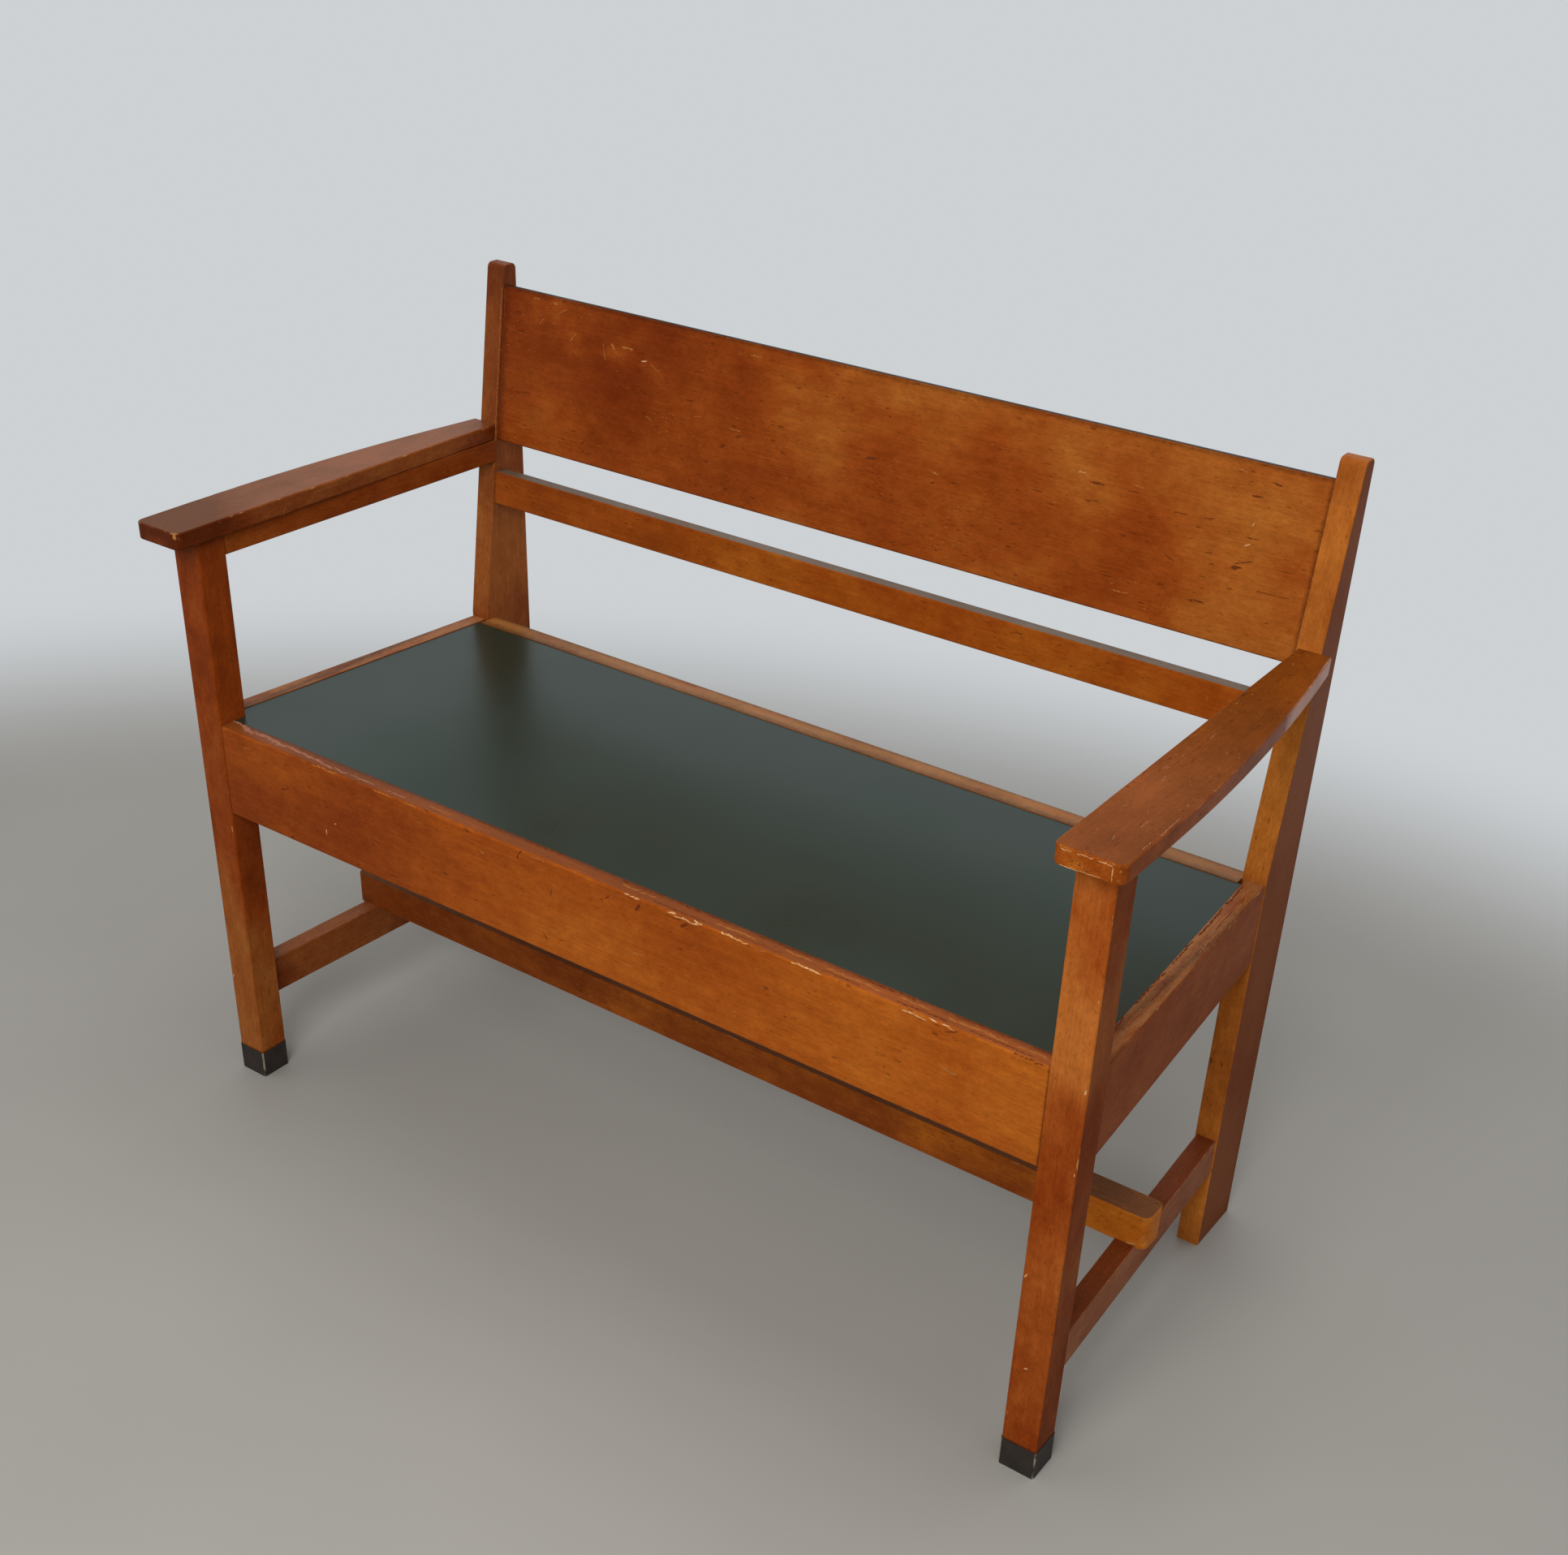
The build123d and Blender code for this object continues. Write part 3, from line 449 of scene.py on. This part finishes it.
# %% Arms
dress(stained_beech("beech_arm_right", "Y", ("#7c3a0e", "#984a14", "#c07428"), ("#80400f", 0.9),
                    wear=0.8, cloudy=0.9, dents=1.6,
                    patches=[(521, -258, 669, 34, 0.3), (520, 110, 678, 110, -0.4)],
                    gloss=(0.05, 0.14, 0.34), polished=(545, 170, 669, 105, 1.0)), "arm_right")
dress(stained_beech("beech_arm_left", "Y", ("#55220a", "#6e3010", "#8a4a20"), ("#7a4420", 0.95),
                    wear=0.8, cloudy=0.8, dents=0.8,
                    patches=[(-530, -240, 678, 120, -0.9), (-540, 60, 678, 160, 0.35),
                             (-521, -258, 667, 30, 0.9)],
                    gloss=(0.08, 0.23, 0.4)), "arm_left")
dress(stained_beech("beech_arm_rails", "Y", ("#5e260c", "#823a10", "#8f481a"), wear=0.3,
                    gloss=(0.04, 0.2, 0.45)), "arm_rail_right", "arm_rail_left")

# %% [markdown]
# The front rail shows the most wood after the panel. Its change from red brown at the left to
# amber at the right is painted light falling from the right. Legs and cleaners' brushes have
# rubbed the tops of all four seat rails, and a dark line lies along the linoleum, partly dirt
# and partly painted shade.

# %% Seat rails
# Painted light: the slope makes the rail lighter towards the right.
dress(stained_beech("beech_front_rail", "X", ("#84380e", "#9e4c13", "#ae5c1a"), ("#86441a", 0.8),
                    wear=0.3, cloudy=0.4, slope=0.45, dents=0.35,
                    patches=[(-300, -223, 420, 160, -0.15), (0, -223, 400, 120, 0.12),
                             (460, -223, 400, 60, 0.2), (500, -214, 458, 90, 0.3)],
                    seams=[("Y", -204.2, 6), ("X", 500, 2), ("X", -500, 2), ("Z", 352, 1.5)],
                    gloss=(0.08, 0.3, 0.42)), "front_seat_rail")
dress(stained_beech("beech_rear_rail", "X", ("#7a3a12", "#965018", "#ae682c"), ("#9c6634", 0.7),
                    wear=0.6, cloudy=0.7, dents=1.0, seams=[("Y", 168, 10), ("Y", 193, 7)],
                    gloss=(0.08, 0.5, 0.42)), "rear_seat_rail")
dress(stained_beech("beech_side_rails", "Y", ("#70300c", "#8c441a", "#a45e28"), ("#a4683a", 0.6),
                    wear=0.8, cloudy=0.3, dents=0.9,
                    seams=[("X", 516.4, 8), ("X", -516.4, 8), ("X", 535.5, 5)],
                    gloss=(0.03, 0.2, 0.42)), "side_seat_rail_right", "side_seat_rail_left")

# %% [markdown]
# The back panel is the largest face, so its patches follow the real one's: darker and redder
# at the left, golden at the upper right, with two clouds of darker stain between. Its tilt to
# a lighter right is painted light.

# %% Back
dress(stained_beech("beech_back_panel", "X", ("#762d0b", "#934313", "#ab6224"), ("#2c221d", 0.95),
                    wear=0.15, cloudy=0.4, slope=0.4, dents=0.7,
                    patches=[(-412, 209, 689, 90, 0.20), (-300, 223, 755, 110, -0.10),
                             (-470, 225, 790, 90, -0.06), (-145, 223, 780, 60, -0.22),
                             (-50, 223, 750, 130, 0.16), (-30, 226, 815, 50, 0.12),
                             (12, 218, 746, 60, -0.12),
                             (150, 222, 770, 60, -0.20), (240, 224, 799, 60, 0.22),
                             (312, 215, 721, 65, -0.26), (430, 220, 760, 90, 0.16),
                             (400, 209, 685, 60, 0.08), (275, 209, 680, 60, -0.14),
                             (-330, 224, 790, 22, 0.25), (-305, 225, 794, 24, 0.25),
                             (-384, 224, 788, 20, 0.2), (-404, 228, 819, 24, 0.22),
                             (-440, 228, 824, 22, 0.2), (-268, 223, 781, 16, 0.2),
                             (-140, 228, 818, 22, 0.15), (30, 228, 812, 30, 0.12)],
                    seams=[("X", -487.5, 11), ("X", 487.5, 4), ("Z", 829.3, 4.5), ("Z", 660, 3)],
                    gloss=(0.08, 0.08, 0.45)), "back_panel")
dress(stained_beech("beech_lower_rail", "X", ("#78340c", "#94440f", "#a85c18"), ("#6e5a48", 0.8),
                    slope=0.15, dents=0.6, seams=[("X", -487.5, 4), ("X", 487.5, 3)]),
      "lower_back_rail")

# %% [markdown]
# The stretchers lie in the shade under the seat. The right side stretcher is painted lighter
# as lit and the left one darker as painted shade. The long one's darker top is painted shade and
# its lighter right end a painted pool of light; shoes have scraped it.

# %% Stretchers
# Painted light: lighter browns than the left side stretcher.
dress(stained_beech("beech_side_stretcher_right", "Y", ("#74402a", "#9a5c3c", "#b47e58"),
                    ("#7c3c1c", 0.9), wear=0.8, cloudy=0.4, dents=0.9,
                    gloss=(0.04, 0.14, 0.45)), "side_stretcher_right")
# Painted shade: darker browns than the right side stretcher.
dress(stained_beech("beech_side_stretcher_left", "Y", ("#481c0b", "#6c3014", "#8c4c22"), wear=0.7,
                    dents=0.9, patches=[(-515, -110, 119, 150, 0.5), (-505, 120, 119, 150, -0.4)]),
      "side_stretcher_left")
# Painted light at the right end patch, painted shade in the darker top tone.
dress(stained_beech("beech_long_stretcher", "X", ("#6e2e0e", "#8c4416", "#c46c1c"),
                    ("#74492c", 0.8), wear=0.8, cloudy=0.5, slope=0.3, dents=0.9,
                    patches=[(505, -20, 160, 100, 0.9)], gloss=(0.08, 0.08, 0.5)), "long_stretcher")

# %% [markdown]
# ## Chips, knocks and old dents
#
# Noise gives a board its general wear, but the marks that someone would know this settle by
# have a place: pale chips along the front rail's upper edge, rubbed spots at the upper left of
# the panel, dark dents at its right end, nicks on the right arm. They could be painted in an
# image, but an image blurs close by. Here each mark is a row of thin ragged splinters of mesh, a
# tenth of a millimetre high, that lie on the face. A mark is five numbers, read from the real
# one: its place across and along the face, its length, width and slope, in mm and degrees.


# %% Flakes on a face
RIM, RIDGE = 0.04, 0.12  # mm over the face, at a splinter's rim and along its middle
STEP = 0.8  # mm from one cross-section of a splinter to the next


def flakes(name, face, finish, spots, seed):
    """One piece with all marks of one finish on one face, ragged by a seeded chance."""
    chance = random.Random(seed)
    points, quads = [], []
    for across, up, length, width, slope in spots:
        pieces = max(1, round(length / (2.5 * width + 2)))
        for piece in range(pieces):
            reach = length / pieces * chance.uniform(0.45, 0.75)
            turn = math.radians(slope + chance.uniform(-12, 12) * min(1, 5 / reach))
            ahead = Vector((math.cos(turn), math.sin(turn)))
            aside = Vector((-ahead.y, ahead.x))
            whole = Vector((math.cos(math.radians(slope)), math.sin(math.radians(slope))))
            centre = Vector((across, up)) + whole * length * ((piece + 0.5) / pieces - 0.5)
            centre += aside * width * chance.uniform(-0.3, 0.3)
            steps = max(5, round(reach / STEP))
            wander = 0.0
            for step in range(steps + 1):
                share = 2 * step / steps - 1
                wander += chance.uniform(-0.12, 0.12) * width
                half = width / 2 * (1 - abs(share) ** 2.5) * chance.uniform(0.3, 1.0) + 0.04
                for row in (-1, 0, 1):
                    spot = centre + ahead * share * reach + aside * (wander + row * half)
                    lift = RIM if row else RIDGE + 0.01 * piece
                    points.append(face(spot.x, spot.y, lift))
                if step:
                    last = len(points) - 6
                    quads += [(last + k, last + k + 3, last + k + 4, last + k + 1) for k in (0, 1)]
    mesh = bpy.data.meshes.new(name)
    mesh.from_pydata(points, [], quads)
    mesh.materials.append(finish)
    mesh.shade_smooth()
    piece = bpy.data.objects.new(name, mesh)
    bpy.context.collection.objects.link(piece)
    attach(piece, "root")
    print(name, "marks:", len(spots), "faces:", len(quads))


# %% [markdown]
# Four finishes cover all marks: bare beech where a splinter is gone, varnish that was rubbed
# pale but not through, varnish so dry that it has turned pinkish, and dirt pressed into a dent.


# %% Finishes of the marks
def mark_finish(name, one, other, size_mm, roughness):
    """Broken or dirty wood. It gives a dry, uneven spot without the varnish's sheen."""
    material, tree, shader = new_material(name)
    place = add(tree, "TexCoord").outputs["Object"]
    grainy = add(tree, "TexNoise", {"Vector": stretched(tree, place, "X", 3 * size_mm, size_mm),
                                    "Scale": 1.0, "Detail": 4.0, "Roughness": 0.7})
    share = add(tree, "MapRange", {"Value": grainy, "From Min": 0.35, "From Max": 0.65})
    relief = add(tree, "Bump", {"Height": grainy, "Strength": 0.5, "Distance": mm(0.1)})
    feed(tree, shader, {"Base Color": add(tree, "Mix", {0: share, 6: one, 7: other},
                                          data_type="RGBA"),
                        "Roughness": roughness, "Specular IOR Level": 0.05, "Normal": relief})
    return material


chipped = mark_finish("bare_beech_chip", "#b87c46", "#e0b482", 1.5, 0.75)
rubbed = mark_finish("rubbed_varnish", "#98501f", "#b4733a", 1.2, 0.6)
dry = mark_finish("dry_pale_varnish", "#8e5840", "#b07c62", 2.0, 0.7)
pressed = mark_finish("dirty_dent", "#5a2408", "#7a3a14", 1.5, 0.6)

# %% [markdown]
# The marks lie on the boards, so the places of the boards' faces are read from the CAD pieces.
# The front of the panel is its largest face that looks forward, and gives the back's lean.

# %% Boards that carry marks
rail_low, rail_high = [1000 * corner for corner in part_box("front_seat_rail")]
arm_low, arm_high = [1000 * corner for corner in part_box("arm_right")]
leg_low = 1000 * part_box("front_leg_right")[0]
stretcher_low = 1000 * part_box("long_stretcher")[0]
panel_front = max(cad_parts["back_panel"].data.polygons,
                  key=lambda face: -face.normal.y * face.area)
EDGE_RADIUS = 3.0  # mm, of the front rail's upper edge
STILE_PROUD = 1.0  # mm, how far the stiles stand out past the panel
SKEW = 93.6  # degrees from the x axis, the way the right side rail runs
lean = math.degrees(math.asin(panel_front.normal.z))
print("the panel leans back by", round(lean, 1), "degrees")

# %% [markdown]
# Each face is a small function from two lengths on the board, in mm, and a height over it to a
# point in space. So a mark can bend over the rounded edge of the front rail, follow the fall of
# the seat rails or lean with the back, and the list of marks stays flat and easy to read.


# %% Faces that carry marks
def on_front_rail(x, z, lift):
    rise = min(max(z - (rail_high.z - EDGE_RADIUS), 0), 0.98 * EDGE_RADIUS)
    back = math.sqrt(EDGE_RADIUS ** 2 - rise ** 2)
    out = Vector((0, -back, rise)) / EDGE_RADIUS
    z = min(z, rail_high.z - EDGE_RADIUS + rise)
    return (Vector((x, rail_low.y + EDGE_RADIUS - back, z)) + out * lift) / 1000


def on_upper_face(name, x, y, lift):
    """A place on the largest face of a board that looks up, also where that face slopes."""
    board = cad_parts[name].data
    top = max(board.polygons, key=lambda face: face.normal.z * face.area)
    slip = (x - 1000 * top.center.x) * top.normal.x + (y - 1000 * top.center.y) * top.normal.y
    return (Vector((x, y, 1000 * top.center.z - slip / top.normal.z)) + top.normal * lift) / 1000


def on_front_rail_top(x, y, lift):
    return on_upper_face("front_seat_rail", x, y, lift)


def on_side_rail_top(x, y, lift):
    return on_upper_face("side_seat_rail_right", x, y, lift)


def on_panel(x, z, lift):
    centre, facing = panel_front.center, panel_front.normal
    y = 1000 * centre.y + (1000 * centre.z - z) * facing.z / facing.y
    return (Vector((x, y, z)) + facing * lift) / 1000


def on_stile(x, z, lift):
    return on_panel(x, z, STILE_PROUD + lift)


def on_leg_front(x, z, lift):
    return Vector((x, leg_low.y - lift, z)) / 1000


def on_arm_top(x, y, lift):
    return Vector((x, y, arm_high.z + lift)) / 1000


def on_arm_end(x, z, lift):
    return Vector((x, arm_low.y - lift, z)) / 1000


def on_left_arm_side(y, z, lift):
    return Vector((lift - arm_low.x, y, z)) / 1000


def on_stretcher_front(x, z, lift):
    return Vector((x, stretcher_low.y - lift, z)) / 1000


# %% [markdown]
# The front rail's upper edge took knocks from heels and brooms: a broken pale line in its right
# half, with dark bruises just under it.

# %% Marks on the front rail
flakes("rail_chips", on_front_rail, chipped,
       [(59, 454.3, 18, 1.5, 0), (119, 454.0, 36, 2.4, -2), (136, 455.2, 10, 1.2, 0),
        (176, 454.6, 30, 1.3, -1), (255, 454.6, 32, 1.6, -2), (368, 453.0, 25, 1.8, -3),
        (387, 454.8, 7, 1.6, 0), (402, 454.2, 13, 1.3, -4), (-336, 395, 4, 2.4, 20),
        (-350, 381, 5, 2.2, 80)], 11)
flakes("rail_rubbed", on_front_rail, rubbed,
       [(-462, 442, 10, 1.6, 15), (-129, 436, 5, 3, 0), (68, 421, 12, 2, 0), (66, 395, 14, 2, 10),
        (408, 410, 16, 3, 0), (-56, 453, 20, 1.6, 0), (205, 453.4, 12, 1.2, 0),
        (-345, 454.8, 34, 1.3, 0), (-262, 454.6, 26, 1.1, 0), (-225, 454.8, 14, 1.0, 0)], 12)
flakes("rail_bruises", on_front_rail, pressed,
       [(66, 446, 12, 5.5, 65), (121, 446.5, 8, 5, 30), (108, 450.4, 18, 1.8, -3),
        (29, 443, 7, 2, 50), (405, 451.2, 12, 2.4, 20), (480, 455, 30, 1.2, -2),
        (-80, 449.5, 13, 2.4, 60), (-147, 452.4, 7, 2.6, 0), (-370, 427, 4, 2.5, 20),
        (-408, 412, 12, 2.2, 15), (-182, 392, 10, 2.2, 0), (-405, 357, 6, 3, 30),
        (-41, 422, 10, 2, 80), (-51, 369, 8, 3, -40)], 13)

# %% [markdown]
# Seen from above, the rails are rubbed along their length. The front rail's left end is dry and
# pinkish, the rest has slightly raised ridges of old varnish, and dirt has packed into the
# corner along the linoleum.

# %% Marks on top of the rails
flakes("rail_top_dry", on_front_rail_top, dry,
       [(-486, -208, 28, 6, -4), (-462, -209, 34, 7, -4), (-436, -211, 32, 7, -4),
        (-408, -213, 34, 6, -2), (-376, -214, 40, 5, 0), (-338, -216, 40, 3.4, 0),
        (-296, -216, 36, 2.6, 0), (-250, -217, 26, 2, 0)], 14)
flakes("rail_top_ridges", on_front_rail_top, rubbed,
       [(-190, -214, 30, 2.4, 0), (60, -213, 40, 3, 0), (170, -213, 44, 3.2, 0),
        (240, -212, 30, 3, 0), (300, -214, 60, 3.4, 0), (360, -212, 30, 3, 0),
        (425, -213, 60, 3.6, 0), (478, -213, 30, 3.4, 0)], 15)
flakes("rail_top_dirt", on_front_rail_top, pressed,
       [(-130, -206, 44, 2.4, 0), (-62, -206, 50, 3, 0), (58, -206, 46, 3, 0),
        (128, -206.5, 60, 3.4, 0), (226, -206, 70, 3, 0), (330, -206.5, 62, 3.4, 0),
        (428, -206, 60, 3, 0), (488, -206.5, 24, 3.4, 0), (110, -218, 60, 1.6, 0),
        (200, -218, 50, 1.2, 0), (290, -218, 40, 1.4, 0), (372, -218, 50, 1.8, 0),
        (450, -218, 60, 1.4, 0)], 16)
flakes("side_rail_ridges", on_side_rail_top, rubbed,
       [(528, -150, 60, 1.8, SKEW), (523, -84, 50, 2, SKEW), (520.5, -22, 40, 1.4, SKEW),
        (514, 56, 70, 2.4, SKEW), (509.5, 122, 50, 2, SKEW), (503, 150, 20, 1.6, SKEW),
        (519, -110, 30, 1.2, SKEW), (505, 84, 40, 1.4, SKEW)], 17)
flakes("side_rail_dirt", on_side_rail_top, pressed,
       [(514.4, -142, 54, 2.4, SKEW), (509, -60, 66, 2.6, SKEW), (504.4, 14, 50, 2.2, SKEW),
        (500.4, 82, 60, 2.6, SKEW), (497, 142, 44, 2.4, SKEW), (518, -60, 36, 1.2, SKEW),
        (509, 92, 40, 1.4, SKEW)], 18)

# %% [markdown]
# The panel has its rubbed spots at the upper left, where coats hung, and its dents at the right.
# Beside the left stile old polish stands in the corner as a ragged dark red line.

# %% Marks on the panel
flakes("panel_rubbed", on_panel, rubbed,
       [(-401, 816, 13, 1.8, 35), (-412, 823, 7, 3, 0), (-438, 823, 9, 1.6, 0),
        (-384, 792, 11, 1.6, 50), (-327, 793, 8, 3.5, -50), (-307, 794, 15, 3.2, 0),
        (-269, 781, 13, 1.2, -30), (-340, 786, 18, 1.3, -75), (-430, 801, 10, 1.2, 50),
        (-140, 818, 13, 2.2, 0), (-207, 743, 10, 1.3, 10), (-157, 740, 14, 1.5, 0),
        (-272, 728, 9, 1, -20), (89, 748, 9, 2.4, 0), (45, 811, 12, 2, 0), (306, 783, 12, 1.4, 0),
        (307, 684, 16, 1.8, 0), (402, 819, 10, 2, 0)], 21)
flakes("panel_chips", on_panel, chipped,
       [(-284, 786, 6, 1.6, 20), (246, 783, 8, 1.2, 0), (421, 756, 5, 1.8, 20),
        (423, 775, 4, 1.3, 60)], 22)
flakes("panel_dents", on_panel, pressed,
       [(-360, 684, 6, 3.6, 40), (-353, 672, 5, 3, 0), (-199, 684, 5, 3, 30),
        (-201, 671, 5, 3, 0), (-172, 718, 8, 4, 0), (-152, 734, 7, 4, 0), (14, 745, 15, 4, 10),
        (87, 739, 5, 2.6, 0), (156, 786, 7, 2, 0), (264, 777, 12, 3, 0), (301, 777, 9, 1.5, 5),
        (437, 814, 9, 2.4, -10), (421, 799, 9, 2.6, 0), (425, 762, 12, 1.6, 0),
        (422, 740, 18, 1.7, 15), (416, 733, 9, 5, 0), (349, 726, 9, 1.8, -15),
        (331, 679, 8, 1.6, -10), (352, 769, 14, 1.4, 3), (380, 770, 10, 1.4, 8),
        (382, 694, 16, 1.8, 0), (220, 748, 6, 2, 0), (455, 718, 32, 1.1, 3),
        (51, 670, 6, 2.2, 0), (175, 667, 6, 2.2, 0)], 23)
flakes("panel_corner_dirt", on_panel, pressed,
       [(-484.6, 818, 16, 4.2, 90), (-485, 796, 34, 3.2, 90), (-485, 760, 44, 2.8, 90),
        (-484.6, 722, 36, 3.4, 90), (-485, 684, 40, 2.8, 90)], 25)
flakes("stile_worn_line", on_stile, rubbed,
       [(-489.3, 742, 170, 1.3, 90), (-489.3, 640, 26, 1.2, 90), (489.3, 700, 30, 0.8, 90)], 24)

# %% [markdown]
# Hands and rings have nicked the arm boards, and the fronts of the legs carry a few small chips.

# %% Marks on the arms, legs and stretcher
flakes("arm_nicks", on_arm_top, dry,
       [(508, -166, 6, 1.4, 60), (511, -105, 11, 1.0, 95), (508.5, -9, 13, 1.1, 92),
        (534, -184, 12, 1.0, 90), (503, -86, 7, 1.0, 90), (525, -218, 7, 1.0, 100),
        (551.6, -176, 36, 1.2, 91), (551, -214, 14, 0.9, 90)], 31)
flakes("arm_end_chips", on_arm_end, chipped,
       [(517, 661.8, 34, 0.9, 1), (544, 668, 9, 0.9, 88), (504, 675.6, 9, 0.8, 0),
        (520, 675.8, 14, 0.8, 0), (537, 675.8, 12, 1.1, 0), (543.4, 671, 7, 1.4, 84)], 34)
flakes("arm_dents", on_arm_top, pressed,
       [(531.6, -184, 10, 1.3, 90), (532, -226, 8, 1.5, 100), (526, -156, 6, 1.6, 80),
        (502, 66, 14, 1.6, 92), (505, 131, 10, 1.6, 90), (495, -136, 4, 2, 0),
        (515, -60, 12, 1.4, 92), (540, -20, 9, 1.3, 95), (508, -40, 16, 1.0, 90),
        (528, 20, 14, 1.2, 92), (518, -130, 10, 1.0, 88)], 32)
flakes("left_arm_nick", on_left_arm_side, rubbed,
       [(-115, 665, 9, 0.9, 80), (-20, 674, 8, 1, 10)], 35)
flakes("leg_chips", on_leg_front, chipped,
       [(503.8, 233, 4.5, 2.4, 60), (534.6, 447, 5, 2.2, 80), (534.8, 535, 3, 1.4, 90),
        (534.8, 361, 3, 1.6, 90), (515, 129, 4, 2, 30), (-502, 332, 8, 1.4, 90),
        (-534, 129, 5, 1.6, 80)], 33)
flakes("stretcher_chip", on_stretcher_front, chipped, [(517, 141.6, 11, 2.4, 0)], 36)

# %% [markdown]
# ## Linoleum
#
# The seat is a sheet of furniture linoleum: linseed oil, cork and pigment, rolled on cloth.
# It is dark grey-green and smooth, with a satin polish that mirrors the room softly. Its colour
# is faintly mottled by the ground cork, whose grains are under a millimetre: that is too fine to
# show from here, so they are drawn 2.5 mm wide. Long use leaves a haze of fine, shallow scuffs.

# %% Green linoleum
linoleum, tree, shader = new_material("green_linoleum")
place = add(tree, "TexCoord").outputs["Object"]
cork = add(tree, "TexNoise", {"Vector": place, "Scale": 1000 / 2.5, "Detail": 3.0})
haze = add(tree, "TexNoise", {"Vector": place, "Scale": 1000 / 160, "Detail": 5.0})
mottle = add(tree, "Mix", {0: cork, 6: "#17231a", 7: "#233428"}, data_type="RGBA")
aged = add(tree, "Mix", {0: haze, 6: mottle, 7: "#1e3026"}, data_type="RGBA")
polish = add(tree, "MapRange", {"Value": haze, "From Min": 0.3, "From Max": 0.7,
                                "To Min": 0.26, "To Max": 0.36})
grain = add(tree, "Bump", {"Height": cork, "Strength": 0.2, "Distance": mm(0.05)})
feed(tree, shader, {"Base Color": aged, "Roughness": polish, "Specular IOR Level": 0.38,
                    "Normal": grain})
dress(linoleum, "seat_linoleum")

# %% [markdown]
# ## Rubber sleeves
#
# The front feet stand in closed sleeves of black rubber. Rubber like this is matte and has a
# grey bloom in patches about a centimetre wide. Its rounded edges are drawn pale, partly as
# scuffs from shoes and brooms and partly as a painted highlight.

# %% Black rubber
rubber, tree, shader = new_material("black_rubber")
place = add(tree, "TexCoord").outputs["Object"]
bloom = add(tree, "TexNoise", {"Vector": place, "Scale": 1000 / 12, "Detail": 5.0})
black = add(tree, "Mix", {0: bloom, 6: "#110f0e", 7: "#3a2f27"}, data_type="RGBA")
# Painted highlight and scuffs: the rounded edges turn pale.
black = edge_wear_and_highlight(tree, place, "Z", black, 1.5, "#a0907f")
skin = add(tree, "Bump", {"Height": bloom, "Strength": 0.3, "Distance": mm(0.2)})
feed(tree, shader, {"Base Color": black, "Roughness": 0.62, "Specular IOR Level": 0.3,
                    "Normal": skin})
dress(rubber, "foot_sleeve_right", "foot_sleeve_left")

# %% [markdown]
# ## Bare wood under the seat
#
# Nobody varnishes what no one sees. The battens, the bearer and the dowels are planed pine or
# beech left bare: pale, dry, with a streak for each growth ring, every 3 to 5 mm. The seat board
# is plywood. Its face veneer is peeled along the rings, so its wavy figure is broad, 26 mm.


# %% Bare softwood and plywood
def bare_wood(name, along, pale_tone, streak_tone, width_mm):
    """Unfinished planed wood. It gives a dry, pale surface with darker late-wood lines."""
    material, tree, shader = new_material(name)
    place = add(tree, "TexCoord").outputs["Object"]
    rings = add(tree, "TexNoise", {"Vector": stretched(tree, place, along, 240, width_mm),
                                   "Scale": 1.0, "Detail": 4.0, "Distortion": 0.6})
    lines = add(tree, "MapRange", {"Value": rings, "From Min": 0.42, "From Max": 0.60})
    wood = add(tree, "Mix", {0: lines, 6: pale_tone, 7: streak_tone}, data_type="RGBA")
    relief = add(tree, "Bump", {"Height": rings, "Strength": 0.3, "Distance": mm(0.2)})
    feed(tree, shader, {"Base Color": wood, "Roughness": 0.72, "Normal": relief})
    return material


dress(bare_wood("bare_pine_across", "X", "#c09a68", "#9a6f40", 5),
      "front_batten_right", "front_batten_left", "rear_batten_right", "rear_batten_left")
dress(bare_wood("bare_pine_deep", "Y", "#bd9664", "#966b3d", 5),
      "side_batten_right", "side_batten_left", "seat_bearer")
dress(bare_wood("birch_plywood", "X", "#c4a273", "#a98152", 26), "seat_board")
dress(bare_wood("beech_dowel", "Z", "#c79f70", "#ab8152", 3), "arm_dowels")

# %% [markdown]
# ## Screws
#
# Plain steel wood screws, countersunk. They are dull from handling and a little brown in the
# recesses, so the metal is rough and its colour wanders between grey and tan.

# %% Dull steel
steel, tree, shader = new_material("dull_steel")
place = add(tree, "TexCoord").outputs["Object"]
tarnish = add(tree, "TexNoise", {"Vector": place, "Scale": 1000 / 3, "Detail": 4.0})
metal = add(tree, "Mix", {0: tarnish, 6: "#8d8a85", 7: "#6b5644"}, data_type="RGBA")
feed(tree, shader, {"Base Color": metal, "Metallic": 1.0, "Roughness": 0.45})
dress(steel, "arm_screws", "batten_screws", "stretcher_screws")
